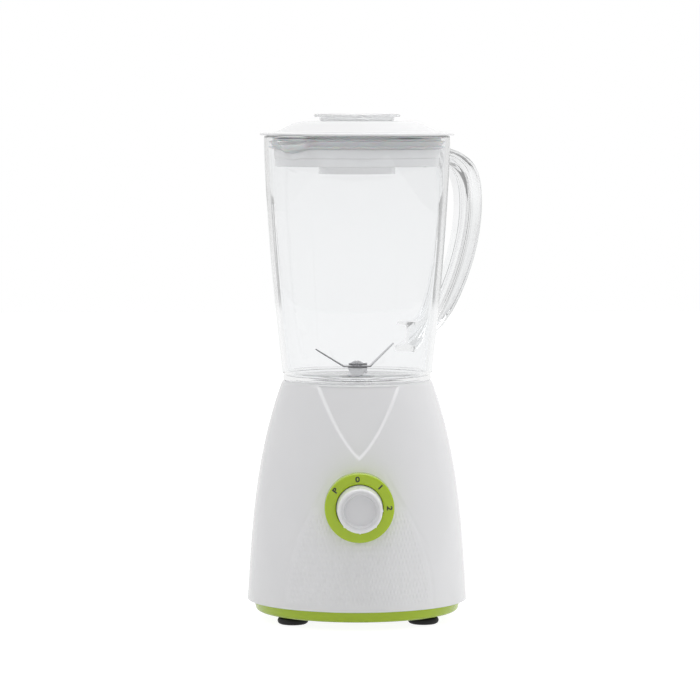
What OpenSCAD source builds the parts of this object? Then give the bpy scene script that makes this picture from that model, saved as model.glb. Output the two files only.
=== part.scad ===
// Countertop blender: a white motor base with a green dial and bottom cover,
// a clear 1.5 litre jar with a moulded handle, a blade unit, a lid and a measuring cap.
// Millimetres, +Z up, origin on the base's axis at table height, front towards -Y.

/* [Base housing] */
// Radius of the housing at its lower edge
base_r = 85; // [78:0.5:90]
// Radius of the housing at its top rim
rim_r = 57.4; // [55.5:0.1:60]
// Height of the housing's lower edge above the table
housing_z = 14.5; // [13:0.5:20]
// Height of the top rim above the table
rim_z = 185; // [175:1:195]
// Wall of the moulded housing
housing_wall = 2.6; // [2:0.1:3.4]
// Share of the flare that is straight, the rest bulges
flare_straight = 0.35; // [0.2:0.05:0.6]
// Radius of the rounded top rim
rim_round = 2; // [1:0.25:3]
// Depth of the V panel and of the textured panel in the front
panel_depth = 0.8; // [0.4:0.1:1.2]
// Height of the V's point
v_point_z = 129.3; // [124:0.5:136]
// Half width of the lower front panel at the bottom
panel_half_w = 56.5; // [48:0.5:60]

/* [Jar well] */
// Inner radius of the well that takes the jar's skirt
well_r = 51; // [50:0.25:51.5]
// Depth of the well's floor below the top rim
well_depth = 30; // [28:0.5:35]
// Thickness of the well's floor
well_floor_t = 3; // [2.4:0.2:4]
// Radius of the collar round the shaft hole
collar_r = 14; // [13:0.5:16]

/* [Bottom cover and feet] */
// Inset of the green bottom cover from the housing's lower edge
cover_inset = 5; // [4:0.25:7]
// Underside of the bottom cover above the table
cover_z = 6; // [5:0.5:9]
// Wall of the bottom cover
cover_wall = 2.5; // [2:0.1:3]
// Half distance between the feet, left to right
foot_x = 50; // [42:1:54]
// Half distance between the feet, front to back
foot_y = 40; // [34:1:46]
// Radius of a suction foot
foot_r = 12.4; // [10:0.2:14]
// Radius of the circle of cover screws
cover_screw_pcr = 66; // [62:0.5:68]

/* [Dial and knob] */
// Height of the knob's axis above the table
dial_z = 94; // [88:0.5:100]
// Radius of the green dial ring
dial_r = 26.3; // [24:0.1:28]
// How far the dial's face stands in front of the housing's lower edge
dial_proud = 1; // [0:0.25:3]
// Radius of the knob where it leaves the dial
knob_r = 17.5; // [15:0.1:18.5]
// How much slimmer the knob is at its front
knob_draft = 0.7; // [0:0.1:1.5]
// Length of the knob in front of the dial's face
knob_proud = 20; // [15:0.5:24]
// Radius of the recessed disc in the knob's front
knob_disc_r = 11.4; // [9:0.1:13]
// Radius of the switch spindle
spindle_r = 3; // [2.5:0.1:3.5]

/* [Jar] */
// Outer radius of the jar at its rim
jar_rim_r = 71.8; // [70:0.1:73]
// Outer radius of the jar just above its foot
jar_low_r = 58.1; // [57:0.1:60]
// Wall of the jar
jar_wall = 3; // [2.4:0.1:3.6]
// Height of the jar's rim above its foot
jar_h = 188; // [180:1:200]
// Height of the jar's floor above its foot
jar_floor_h = 0.7; // [0.5:0.1:2]
// Thickness of the jar's floor
jar_floor_t = 4; // [3.4:0.1:4.4]
// Outer radius of the skirt below the jar
skirt_r = 49.5; // [48:0.1:49.7]
// Wall of the skirt below the jar
skirt_wall = 2.6; // [2:0.1:3]
// Height of the four inner ribs above the jar's floor
rib_h = 145; // [120:1:150]

/* [Handle and spout] */
// Direction of the handle, seen from above
handle_dir = 45.5; // [40:0.5:60]
// Reach of the handle from the jar's axis
handle_reach = 138.7; // [134:0.1:144]
// Thickness of the handle bar, across the grip
handle_bar = 17; // [14:0.5:19]
// Width of the handle bar
handle_w = 18; // [15:0.5:22]
// Width of the handle where it joins the jar
handle_root_w = 27; // [22:0.5:30]
// Radius of the handle's rounded edges
handle_round = 4; // [2:0.25:5]
// Reach of the pouring spout from the jar's axis
spout_reach = 81; // [78:0.5:84]
// Radius of the pouring spout, seen from above
spout_r = 22; // [19:0.5:24]
// Height of the pouring spout
spout_h = 16; // [13:0.5:20]

/* [Blades] */
// Length of a bent wing
wing_len = 26; // [20:0.5:28]
// Half length of the flat middle
blade_flat = 10; // [9:0.25:12]
// Sheet thickness of the blades
blade_t = 1.2; // [1:0.1:1.5]
// Width of a blade at its middle
blade_w = 14; // [12:0.5:16]
// Upward bend of the flatter upper wing
wing_low_deg = 31; // [20:1:40]
// Upward bend of the steeper upper wing
wing_high_deg = 44.5; // [35:0.5:55]
// Upward bend of the lower blade's wings
wing_side_deg = 12; // [5:1:20]
// Radius of the blade shaft
blade_shaft_r = 3.5; // [3:0.1:4]

/* [Lid and measuring cap] */
// Radius of the lid's brim
brim_r = 74.9; // [74:0.1:76]
// Height of the lid above its brim's underside
lid_h = 11; // [9:0.25:13]
// Radius of the lid's flat top
lid_top_r = 39.6; // [36:0.2:44]
// Outer radius of the lid's plug skirt
plug_r = 64; // [62:0.1:65]
// Depth of the plug skirt below the brim
plug_depth = 23.7; // [20:0.1:26]
// Radius of the measuring cap's cup
cup_r = 27.3; // [25:0.1:28.5]
// Radius of the measuring cap's flange
cap_r = 33.4; // [31.5:0.1:35]
// Depth of the measuring cap below the lid's top
cup_depth = 40; // [34:0.5:42]

/* [Motor] */
// Radius of the motor shaft
shaft_r = 4; // [3.5:0.1:4.4]
// Height of the armature and stator stacks
stack_h = 40; // [34:1:42]
// Radius of the armature
armature_r = 17.3; // [16:0.1:18]
// Width over the stator's flats
stator_w = 60; // [56:1:64]
// Radius of the cooling fan
fan_r = 34; // [28:0.5:36]
// Number of fan blades
fan_blades = 9; // [7:1:12]
// Number of armature slots
armature_slots = 12; // [10:1:14]

/* [Fits] */
// Gap between pieces that move apart
gap = 0.3; // [0.2:0.05:0.4]
// Radial gap of a running shaft
run_fit = 0.05; // [0.02:0.01:0.08]

/* [Hidden] */
$fn = 64;

// Numbers of steps along the drawn curves
flare_steps = 14;
arc_steps = 5;
curve_steps = 8;
arm_steps = 10;

// Heights that follow from the driving sizes
well_floor_z = rim_z - well_depth;
cover_r = base_r - cover_inset;
jar_z = rim_z + gap;
jar_floor_z = jar_z + jar_floor_h;
jar_under_z = jar_floor_z - jar_floor_t;
jar_rim_z = jar_z + jar_h;
skirt_z = well_floor_z + 2;
brim_z = jar_rim_z + gap;
lid_top_z = brim_z + lid_h;
well_under_z = well_floor_z - well_floor_t;
cover_top_z = cover_z + cover_wall;
cover_lip_z = housing_z + 4.5;

// Housing details
well_wall = 3;
well_out_r = well_r + well_wall;
ledge_z = rim_z - 8;
ledge_t = 2.6;
seal_hole_r = collar_r - 2.5;
lip_r = cover_r + gap;
lip_t = 2.5;
boss_r = 4.5;
boss_top_z = 40;
screw_dirs = [20, 160, 200, 340];
v_slope = 0.85;
v_curve = 0.027;
v_half_w = 34;
panel_flare = 21.1;
foot_dirs = [[-1, -1], [1, -1], [-1, 1], [1, 1]];

// Dial details, as distances in front of the base's axis
dial_face = base_r + dial_proud;
spigot_r = dial_r - 4.3;
dial_hole_r = knob_r + 0.7;
dial_floor = dial_face - 9;
switch_body = [28, 26, 22];
neck_r = 4.9;
knob_back = dial_face - 4;
knob_front = dial_face + knob_proud;
knob_front_r = knob_r - knob_draft;
knob_wall = 2;
spindle_front = knob_front - 7;

// Cord inlet and interlock
gland_r = 5.9;
gland_flange_r = gland_r + 2.6;
gland_z = cover_lip_z + gland_flange_r + 1.5;
lock_dir = 135;
lock_pcr = skirt_r - skirt_wall / 2;
lock_switch = [10, 20, 10];
pin_r = 2;

// Motor, from the top down
mount_pcr = 40;
mount_dirs = [0, 90, 180, 270];
bracket_z = well_under_z - 12;
bracket_t = 3;
post_z = bracket_z + bracket_t + 3;
bolt_off = stator_w / 2 - 6;
bolt_r = 2;
stack_top_z = bracket_z - 12;
stack_z = stack_top_z - stack_h;
commutator_r = 11;
commutator_z = stack_z - 24;
commutator_h = 14;
brush_w = 6;
brush_len = 11;
holder_x = commutator_r + 3;
holder_len = 16;
lower_plate_z = commutator_z - 8;
fan_h = 17;
fan_z = lower_plate_z - fan_h - 13;
shaft_low_z = fan_z - 4;
window_r = armature_r + 6.2;
pole_w = 16;
press = 0.02;

// Couplings between the motor and the jar
drive_z = well_floor_z + 3.6;
disc_t = 3.4;
dog_h = 7;
dog_deg = 22;
dog_in_r = 6.5;
dog_out_r = 12.5;
dog_count = 6;
driven_z = drive_z + disc_t + dog_h + 0.5;
shaft_top_z = drive_z + disc_t - 0.2;

// Jar details
foot_out_r = jar_low_r - 0.9;
wall_low_z = jar_z + 5.3;
floor_fillet = 8;
wall_power = 1.5;
rib_dir = 2;
rib_low_r = 5;
rib_top_r = 3.6;
rib_inset = 2.2;
skirt_flange = 3;
lug_dirs = [45, 135, 225, 315];
lug_w = 8;
lug_h = 12;
lug_proud = 2.2;

// Blade unit, from the jar's floor up
holder_r = 6.6;
holder_hex_r = 7;
flange_r = 8.6;
bushing_r = 5;
floor_hole_r = holder_r + gap;
holder_nut_r = 13;
washer_r = 6.2;
holder_top_z = jar_floor_z + 6.6;
nut_h = 5.8;
washer_t = 0.9;
lower_blade_z = holder_top_z + gap + washer_t;
upper_blade_z = lower_blade_z + blade_t;
nut_z = upper_blade_z + blade_t;

// Lid details
plug_wall = 2.2;
lid_t = 2.2;
brim_t = 1.7;
dome_r = 60.6;
collar_in_r = cup_r + gap;
collar_out_r = collar_in_r + 2;
plug_low_z = brim_z - plug_depth;
collar_low_z = plug_low_z - 6;
gasket_h = 8;
gasket_z = brim_z - 2.5 - gasket_h;
plug_step_z = plug_low_z + 6;
plug_taper = 0.7;
cap_flange_t = 2.4;
cap_neck_h = 3;
cap_top_z = lid_top_z + cap_neck_h + cap_flange_t;

// Colours
housing_white = [0.93, 0.93, 0.94];
dial_green = [0.58, 0.72, 0.2];
rubber_black = [0.06, 0.06, 0.06];
clear_plastic = [0.88, 0.92, 0.94, 0.35];
steel = [0.72, 0.73, 0.75];
lamination = [0.42, 0.43, 0.46];
copper = [0.76, 0.42, 0.2];
brass = [0.8, 0.66, 0.3];
motor_plastic = [0.25, 0.26, 0.28];

function bezier(p0, p1, p2, p3, n) = [for (i = [0:n]) let (t = i / n, s = 1 - t)
    p0 * s * s * s + p1 * 3 * s * s * t + p2 * 3 * s * t * t + p3 * t * t * t];
function joined(a, b) = concat(a, [for (i = [1:len(b) - 1]) b[i]]);
function arc(centre, r, a0, a1, n) = [for (i = [0:n]) let (a = a0 + (a1 - a0) * i / n)
    [centre[0] + r * cos(a), centre[1] + r * sin(a)]];

// Radius of the housing's outer surface at a height: an outward bulging flare
function housing_r(z) = let (t = (z - housing_z) / (rim_z - housing_z))
    base_r - (base_r - rim_r) * (flare_straight * t + (1 - flare_straight) * pow(t, 3));
// Radius of the jar's outer surface at a height
function jar_r(z) = let (u = max(0, min(1, (jar_rim_z - z) / (jar_rim_z - wall_low_z))))
    jar_rim_r - (jar_rim_r - jar_low_r) * pow(u, wall_power);
// Height of the V panel's edge and half width of the lower panel
function v_edge(x) = v_point_z + v_slope * x + v_curve * x * x;
function panel_half(z) = panel_half_w
    - panel_flare * pow((z - housing_z) / (dial_z - housing_z), 2);

module tube(r_out, r_in, z0, z1)
    translate([0, 0, z0]) difference() {
        cylinder(r = r_out, h = z1 - z0);
        translate([0, 0, -1]) cylinder(r = r_in, h = z1 - z0 + 2);
    }

// Local +Z becomes the way out of the dial, from the base's axis
module on_dial() translate([0, 0, dial_z]) rotate([90, 0, 0]) children();

module on_circle(r, dirs) for (a = dirs) rotate(a) translate([r, 0, 0]) children();

// Solid of the housing's outer form, grown outwards
module flare_solid(grow, z0, z1)
    rotate_extrude($fn = 96) polygon(concat([[0, z0]],
        [for (i = [0:flare_steps]) let (z = z0 + (z1 - z0) * i / flare_steps)
            [housing_r(z) + grow, z]],
        [[0, z1]]));

// Skin that the V panel and the lower front panel take off
module panel_skin(grow) {
    low_z = housing_z + 3;
    top_z = dial_z - 1.2;
    v_right = [for (i = [0:arm_steps]) let (x = v_half_w * i / arm_steps) [x, v_edge(x)]];
    v_left = [for (i = [arm_steps:-1:1]) let (x = v_half_w * i / arm_steps) [-x, v_edge(x)]];
    low_right = [for (i = [0:arm_steps]) let (z = low_z + (top_z - low_z) * i / arm_steps)
        [panel_half(z), z]];
    low_left = [for (i = [arm_steps:-1:0]) let (z = low_z + (top_z - low_z) * i / arm_steps)
        [-panel_half(z), z]];
    difference() {
        rotate([90, 0, 0]) linear_extrude(base_r + 5) union() {
            polygon(concat(v_right, v_left));
            polygon(concat(low_right, low_left));
        }
        flare_solid(grow - panel_depth, housing_z - 5, rim_z + 8);
    }
}

// Outer shell: its rounded top rim has a ledge inside that the jar well's flange is welded under
module housing_shell() {
    round_z = rim_z - rim_round;
    round_r = housing_r(round_z) - rim_round;
    rim_in_r = well_out_r + gap;
    inner_low_z = housing_z + lip_t;
    profile = concat(
        [[base_r - 0.8, housing_z]],
        [for (i = [0:flare_steps]) let (z = housing_z + 0.8 + (round_z - housing_z - 0.8) * i / flare_steps)
            [housing_r(z), z]],
        arc([round_r, round_z], rim_round, 15, 90, arc_steps),
        [[rim_in_r + 0.6, rim_z], [rim_in_r, rim_z - 0.6], [rim_in_r, ledge_z]],
        [for (i = [0:flare_steps]) let (z = ledge_z + (inner_low_z - ledge_z) * i / flare_steps)
            [housing_r(z) - housing_wall, z]],
        [[lip_r, inner_low_z], [lip_r, housing_z]]);
    color(housing_white) difference() {
        union() {
            rotate_extrude($fn = 96) polygon(profile);
            intersection() {
                on_circle(cover_screw_pcr, screw_dirs) {
                    translate([0, 0, cover_top_z]) cylinder(r = boss_r, h = boss_top_z - cover_top_z);
                    translate([0, -1, boss_top_z - 14]) cube([base_r, 2, 14]);
                }
                flare_solid(-1, cover_top_z - 3, rim_z);
            }
        }
        panel_skin(0);
        on_dial() translate([0, 0, base_r - 35]) cylinder(r = spigot_r + gap, h = 45);
        translate([0, base_r - 15, gland_z]) rotate([-90, 0, 0]) cylinder(r = gland_r + gap, h = 25);
        on_circle(cover_screw_pcr, screw_dirs)
            translate([0, 0, cover_top_z - 1]) cylinder(r = 1.6, h = 14);
    }
}

// Well that takes the jar's skirt, with the posts that the motor hangs from
module jar_well() {
    top_z = rim_z - 0.4;
    color(housing_white) difference() {
        union() {
            rotate_extrude($fn = 96) polygon([[well_r + 0.8, top_z], [well_r, top_z - 0.8],
                [well_r, well_floor_z], [collar_r, well_floor_z], [collar_r, well_floor_z + 3],
                [seal_hole_r, well_floor_z + 3], [seal_hole_r, well_under_z],
                [well_out_r, well_under_z], [well_out_r, ledge_z - ledge_t],
                [well_out_r + 2.8, ledge_z - ledge_t], [well_out_r + 2.8, ledge_z],
                [well_out_r, ledge_z], [well_out_r, top_z]]);
            on_circle(mount_pcr, mount_dirs)
                translate([0, 0, post_z]) cylinder(r = 5, h = well_floor_z - 1 - post_z);
            rotate(lock_dir) for (side = [-1, 1])
                translate([lock_pcr + side * (lock_switch[0] / 2 + 1), 0, well_floor_z - 1 - 9])
                    cube([2, 12, 18], center = true);
        }
        rotate(lock_dir) translate([lock_pcr, 0, well_under_z - 1])
            cylinder(r = pin_r + gap, h = well_floor_t + 2);
        on_circle(mount_pcr, mount_dirs)
            translate([0, 0, post_z - 1]) cylinder(r = bolt_r + 0.05, h = 6.5);
        on_circle(well_r, lug_dirs)
            translate([-3, -lug_w / 2 - 0.5, well_floor_z]) cube([4.5, lug_w + 1, well_depth + 1]);
    }
}

module bottom_cover()
    color(dial_green) difference() {
        rotate_extrude($fn = 96) polygon([[0, cover_z], [cover_r - 3.2, cover_z],
            [cover_r - 1.6, cover_z + 1.2], [cover_r, housing_z], [cover_r, cover_lip_z],
            [cover_r - cover_wall, cover_lip_z], [cover_r - cover_wall - 1.5, cover_top_z],
            [0, cover_top_z]]);
        for (d = foot_dirs) translate([d[0] * foot_x, d[1] * foot_y, cover_z - 1])
            cylinder(r = 4, h = cover_wall + 2);
        on_circle(cover_screw_pcr, screw_dirs) {
            translate([0, 0, cover_z - 1]) cylinder(r = 1.8, h = cover_wall + 2);
            translate([0, 0, cover_z - 1]) cylinder(r = 3.5, h = 2.5);
        }
        for (a = [0:15:345]) rotate(a) translate([fan_r - 16, -1.5, cover_z - 1])
            cube([18, 3, cover_wall + 2]);
    }

// Suction foot: a rubber disc with a hollow sole and a stem that snaps through the cover
module foot(d) {
    stem_r = 4 - gap;
    color(rubber_black) translate([d[0] * foot_x, d[1] * foot_y, 0])
        rotate_extrude() polygon([[0, 2], [foot_r - 5, 1.4], [foot_r - 3, 0], [foot_r - 1, 0],
            [foot_r, 1], [foot_r, cover_z - 2], [foot_r - 1.3, cover_z - 0.1],
            [stem_r, cover_z - 0.1], [stem_r, cover_top_z + 0.2], [stem_r + 1.3, cover_top_z + 0.6],
            [stem_r + 0.3, cover_top_z + 3], [0, cover_top_z + 3.4]]);
}

module cover_screws()
    color(steel) on_circle(cover_screw_pcr, screw_dirs) {
        translate([0, 0, cover_z + 0.1]) cylinder(r = 3.2, h = 1.4);
        translate([0, 0, cover_z + 1.4]) cylinder(r = 1.5, h = 13);
    }

module shaft_seal()
    color(rubber_black) tube(seal_hole_r - 0.1, shaft_r + run_fit, well_under_z + 0.3, well_floor_z + 0.8);

module dial_ring()
    color(dial_green) difference() {
        union() {
            difference() {
                on_dial() rotate_extrude($fn = 96) polygon(concat(
                    [[0, dial_face - 20], [dial_r, dial_face - 20]],
                    arc([dial_r - 1, dial_face - 1], 1, 0, 90, arc_steps),
                    [[0, dial_face]]));
                difference() {
                    flare_solid(0.2, housing_z, rim_z);
                    panel_skin(0.2);
                }
            }
            on_dial() translate([0, 0, dial_face - 20]) cylinder(r = spigot_r, h = 19);
        }
        on_dial() {
            translate([0, 0, dial_face - 7]) cylinder(r = dial_hole_r, h = 10);
            translate([0, 0, dial_floor - 1]) cylinder(r = neck_r + 0.1, h = 5);
            translate([0, 0, dial_face - 21]) cylinder(r = spigot_r - 2, h = 12);
        }
    }

module rotary_switch()
    color(motor_plastic) on_dial() difference() {
        union() {
            translate([-switch_body[0] / 2, -switch_body[1] / 2, dial_floor - switch_body[2]])
                cube(switch_body);
            translate([0, 0, dial_floor - 1]) cylinder(r = neck_r, h = 7);
            for (x = [-8, 0, 8]) translate([x - 2, -0.4, dial_floor - switch_body[2] - 7])
                cube([4, 0.8, 8]);
        }
        translate([0, 0, dial_floor - 17]) cylinder(r = spindle_r + run_fit, h = 30);
    }

module switch_nut()
    color(steel) on_dial() difference() {
        translate([0, 0, dial_floor + 2]) cylinder(r = 7.4, h = 2.4, $fn = 6);
        translate([0, 0, dial_floor + 1]) cylinder(r = neck_r + 0.05, h = 5);
    }

// The knob's inner hub has a D bore that the spindle's flat drives
module speed_knob() {
    hub_back = dial_floor + 6.5;
    color(housing_white) on_dial() difference() {
        union() {
            rotate_extrude($fn = 96) polygon(concat(
                [[knob_r, knob_back], [knob_front_r, knob_front - 1.9]],
                arc([knob_front_r - 1.9, knob_front - 1.9], 1.9, 15, 90, arc_steps),
                [[knob_disc_r + 1.3, knob_front - 1.4], [knob_disc_r + 0.5, knob_front - 1.7],
                    [knob_disc_r, knob_front - 2.7], [0, knob_front - 2.9], [0, knob_front - 5],
                    [knob_front_r - knob_wall, knob_front - 5], [knob_r - knob_wall, knob_back]]));
            on_circle(knob_front_r - 0.35, [0:45:315])
                translate([0, 0, knob_back]) cylinder(r = 0.9, h = knob_proud + 1, $fn = 24);
            translate([0, 0, hub_back]) cylinder(r = 5.5, h = knob_front - 4 - hub_back);
        }
        translate([0, 0, hub_back - 1]) linear_extrude(spindle_front - hub_back + 1.5) difference() {
            circle(r = spindle_r + press);
            translate([-5, spindle_r - 0.95]) square([10, 5]);
        }
    }
}

module switch_spindle()
    color(steel) on_dial() difference() {
        translate([0, 0, dial_floor - 16.5]) cylinder(r = spindle_r, h = spindle_front - dial_floor + 16.5);
        translate([-5, spindle_r - 1, dial_floor + 6.2]) cube([10, 5, 50]);
    }

module cord_gland() {
    wall_y = housing_r(gland_z);
    flange_y = housing_r(gland_z - gland_flange_r) + gap;
    color(rubber_black) translate([0, 0, gland_z]) rotate([-90, 0, 0]) rotate_extrude()
        polygon([[3.5, wall_y - 6], [gland_r + 2.2, wall_y - 5.4], [gland_r + 2.2, wall_y - 3.4],
            [gland_r, wall_y - 3.2], [gland_r, flange_y], [gland_flange_r, flange_y],
            [gland_flange_r, flange_y + 1.1], [gland_flange_r - 1.2, flange_y + 2.1], [3.5, flange_y + 2.1]]);
}

// Microswitch under the well's floor, and the pin that the jar's skirt holds down
module interlock_switch()
    color(motor_plastic) rotate(lock_dir) translate([lock_pcr, 0, well_under_z - 7 - lock_switch[2]]) {
        translate([-lock_switch[0] / 2, -lock_switch[1] / 2, 0]) cube(lock_switch);
        translate([0, 0, lock_switch[2] - 1]) cylinder(r = 1.5, h = 2.9);
    }

module interlock_pin()
    color(housing_white) rotate(lock_dir) translate([lock_pcr, 0, 0]) {
        translate([0, 0, well_under_z - 4.8]) cylinder(r = pin_r, h = skirt_z - gap - well_under_z + 4.8);
        translate([0, 0, well_under_z - 4.8]) cylinder(r = pin_r + 1.2, h = 1.8);
    }

// Square with rounded corners, from exact pieces
module round_square(w, h, r) {
    square([w - 2 * r, h], center = true);
    square([w, h - 2 * r], center = true);
    for (x = [-1, 1], y = [-1, 1]) translate([x * (w / 2 - r), y * (h / 2 - r)]) circle(r = r);
}

module bolt_places() for (x = [-1, 1], y = [-1, 1]) translate([x * bolt_off, y * bolt_off]) children();

// Stamped laminations: a frame, two pole necks and two pole shoes round the armature
module stator_core() {
    shoe_r = armature_r + 3.5;
    color(lamination) translate([0, 0, stack_z]) linear_extrude(stack_h) difference() {
        union() {
            difference() {
                round_square(stator_w, stator_w, 9);
                circle(r = window_r);
                square([pole_w + 18, stator_w - 8], center = true);
                bolt_places() circle(r = bolt_r + 0.1);
            }
            square([pole_w, stator_w - 6], center = true);
            intersection() {
                circle(r = shoe_r);
                for (s = [-1, 1]) polygon([[0, 0], [s * 40, s * 26], [s * 40, s * 60],
                    [-s * 40, s * 60], [-s * 40, s * 26]]);
            }
        }
        circle(r = armature_r + 0.5);
    }
}

module field_coils() {
    coil_y = stator_w / 2 - 4.4;
    color(copper) for (s = [-1, 1])
        translate([0, s > 0 ? coil_y : -coil_y + 4.4, stack_z + stack_h / 2]) rotate([90, 0, 0])
            linear_extrude(4.4) difference() {
                round_square(pole_w + 15, stack_h + 15, 5);
                square([pole_w + 0.6, stack_h + 0.6], center = true);
            }
}

// Spider that carries a bearing cup, standing on four legs on the stator
module bracket_plate(hub_r, arm_r)
    difference() {
        union() {
            circle(r = hub_r);
            bolt_places() circle(r = 5.5);
            for (a = [45, 135]) rotate(a) square([2 * bolt_off * sqrt(2), 9], center = true);
            if (arm_r > 0) on_circle(arm_r, mount_dirs) {
                circle(r = 8);
                translate([-arm_r / 2, 0]) square([arm_r, 11], center = true);
            }
        }
        bolt_places() circle(r = bolt_r + 0.1);
        if (arm_r > 0) on_circle(arm_r, mount_dirs) circle(r = 5);
        on_circle(hub_r - 7, [22.5:45:337.5]) circle(r = 3.6);
    }

module upper_bracket() {
    cup_z = bracket_z - 2;
    color("silver") difference() {
        union() {
            translate([0, 0, bracket_z]) linear_extrude(bracket_t) bracket_plate(28, mount_pcr);
            translate([0, 0, cup_z]) cylinder(r = 13.5, h = 10);
            translate([0, 0, stack_top_z]) bolt_places() cylinder(r = 4.5, h = bracket_z - stack_top_z + 1);
        }
        translate([0, 0, cup_z + 1.5]) cylinder(r = 11 + press, h = 12);
        translate([0, 0, cup_z - 1]) cylinder(r = 8, h = 4);
        translate([0, 0, stack_top_z - 1]) bolt_places() cylinder(r = bolt_r + 0.1, h = 20);
    }
}

module lower_bracket() {
    plate_top = lower_plate_z + bracket_t;
    color("silver") difference() {
        union() {
            translate([0, 0, lower_plate_z]) linear_extrude(bracket_t) bracket_plate(28, 0);
            translate([0, 0, lower_plate_z - 7]) cylinder(r = 12, h = 10);
            translate([0, 0, plate_top - 1]) bolt_places() cylinder(r = 4.5, h = stack_z - plate_top + 1);
            for (s = [-1, 1]) translate([s * 22.5 - 6, -6, plate_top - 1])
                cube([12, 12, commutator_z - plate_top + 2.5]);
        }
        translate([0, 0, lower_plate_z - 5.5]) cylinder(r = 9.5 + press, h = 12);
        translate([0, 0, lower_plate_z - 8]) cylinder(r = 7, h = 4);
        translate([0, 0, lower_plate_z - 1]) bolt_places() cylinder(r = bolt_r + 0.1, h = 40);
    }
}

module upper_bearing() color(steel) tube(11, shaft_r + run_fit, bracket_z - 0.5, bracket_z + 6.5);
module lower_bearing() color(steel) tube(9.5, shaft_r + run_fit, lower_plate_z - 5.5, lower_plate_z + 1.5);

module on_brushes() for (a = [0, 180]) rotate(a) translate([0, 0, commutator_z + 6]) children();

module brush_block(length, grow)
    translate([0, -brush_w / 2 - grow, -brush_w / 2 - grow])
        cube([length, brush_w + 2 * grow, brush_w + 2 * grow]);

module brush_holders()
    color(brass) on_brushes() difference() {
        translate([holder_x, 0, 0]) brush_block(holder_len, 1.5);
        translate([holder_x - 1, 0, 0]) brush_block(holder_len - 0.2, gap);
    }

module carbon_brushes()
    color(rubber_black) on_brushes() difference() {
        translate([commutator_r, 0, 0]) brush_block(brush_len, 0);
        translate([0, 0, -4]) cylinder(r = commutator_r + gap, h = 8);
    }

// Small compression spring behind each brush, wound round the brush's axis
module brush_springs() {
    turns = 4;
    steps = 12;
    sides = 5;
    coil_r = 2.3;
    wire_r = 0.35;
    x0 = commutator_r + brush_len + 0.5;
    x1 = holder_x + holder_len - 1.7;
    ring_count = turns * steps;
    points = [for (i = [0:ring_count]) let (a = 360 * i / steps, x = x0 + (x1 - x0) * i / ring_count)
        for (j = [0:sides - 1]) let (b = 360 * j / sides, r = coil_r + wire_r * cos(b))
            [x + wire_r * sin(b), r * cos(a), r * sin(a)]];
    faces = concat(
        [[for (j = [0:sides - 1]) j]],
        [for (i = [0:ring_count - 1], j = [0:sides - 1]) let (k = (j + 1) % sides)
            [i * sides + j, (i + 1) * sides + j, (i + 1) * sides + k, i * sides + k]],
        [[for (j = [sides - 1:-1:0]) ring_count * sides + j]]);
    color(steel) on_brushes() polyhedron(points, faces);
}

module motor_bolts() {
    head_z = lower_plate_z - 3;
    top_z = bracket_z + bracket_t;
    color(steel) bolt_places() {
        translate([0, 0, head_z]) cylinder(r = 3.5, h = 3);
        translate([0, 0, head_z + 1]) cylinder(r = bolt_r, h = top_z + 4.5 - head_z - 1);
        translate([0, 0, top_z]) cylinder(r = 4, h = 3, $fn = 6);
    }
}

module motor_mounts() {
    waist_z = bracket_z - 0.1;
    color(rubber_black) on_circle(mount_pcr, mount_dirs) rotate_extrude() polygon([
        [2.6, bracket_z - 3], [7, bracket_z - 3], [7.6, bracket_z - 2.4], [7.6, waist_z - 0.1],
        [4.9, waist_z - 0.1], [4.9, waist_z + bracket_t + 0.3], [7.6, waist_z + bracket_t + 0.3],
        [7.6, post_z - 0.6], [7, post_z], [2.6, post_z]]);
}

module mount_screws()
    color(steel) on_circle(mount_pcr, mount_dirs) {
        translate([0, 0, bracket_z - 5.5]) cylinder(r = 4.5, h = 2.5);
        translate([0, 0, bracket_z - 4]) cylinder(r = bolt_r, h = post_z - bracket_z + 8.5);
    }

module motor_shaft()
    color(steel) translate([0, 0, shaft_low_z]) cylinder(r = shaft_r, h = shaft_top_z - shaft_low_z);

module armature_core()
    color(lamination) translate([0, 0, stack_z]) linear_extrude(stack_h) difference() {
        circle(r = armature_r);
        circle(r = shaft_r + press);
        for (a = [0:360 / armature_slots:359]) rotate(a) {
            translate([armature_r - 4.3, 0]) circle(r = 2.3);
            translate([armature_r - 3, -0.7]) square([6, 1.4]);
        }
    }

module armature_windings()
    color(copper) for (end = [0, 1]) translate([0, 0, end == 1 ? stack_top_z : stack_z])
        mirror([0, 0, 1 - end]) rotate_extrude() polygon([[shaft_r + press, 0], [armature_r - 2, 0],
            [armature_r - 1.4, 3], [armature_r - 3.4, 6.6], [armature_r - 8, 7.8], [shaft_r + 2, 6],
            [shaft_r + press, 5.6]]);

module commutator()
    color(copper) difference() {
        union() {
            tube(commutator_r, shaft_r + press, commutator_z, commutator_z + commutator_h);
            tube(commutator_r + 1.5, shaft_r + press, commutator_z + commutator_h - 2,
                commutator_z + commutator_h);
        }
        for (a = [0:15:345]) rotate(a) translate([commutator_r - 1.4, -0.25, commutator_z - 1])
            cube([4, 0.5, commutator_h + 2]);
    }

// Radial fan: curved blades hang from a disc on the motor shaft
module cooling_fan() {
    disc_z = fan_z + fan_h;
    blade_arc_r = 21;
    blade_x = 21;
    blade_y = -18;
    color(motor_plastic) difference() {
        union() {
            translate([0, 0, disc_z]) cylinder(r = fan_r, h = 2);
            translate([0, 0, fan_z + 1]) cylinder(r = 8.5, h = fan_h + 1.5);
            intersection() {
                translate([0, 0, fan_z]) cylinder(r = fan_r - 0.5, h = fan_h + 1);
                for (i = [0:fan_blades - 1]) rotate(360 * i / fan_blades)
                    translate([blade_x, blade_y, fan_z])
                        rotate_extrude(angle = 90, start = 38) translate([blade_arc_r - 0.8, 0])
                            square([1.6, fan_h + 0.5]);
            }
        }
        translate([0, 0, fan_z - 1]) cylinder(r = shaft_r + press, h = fan_h + 13);
    }
}

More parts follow.
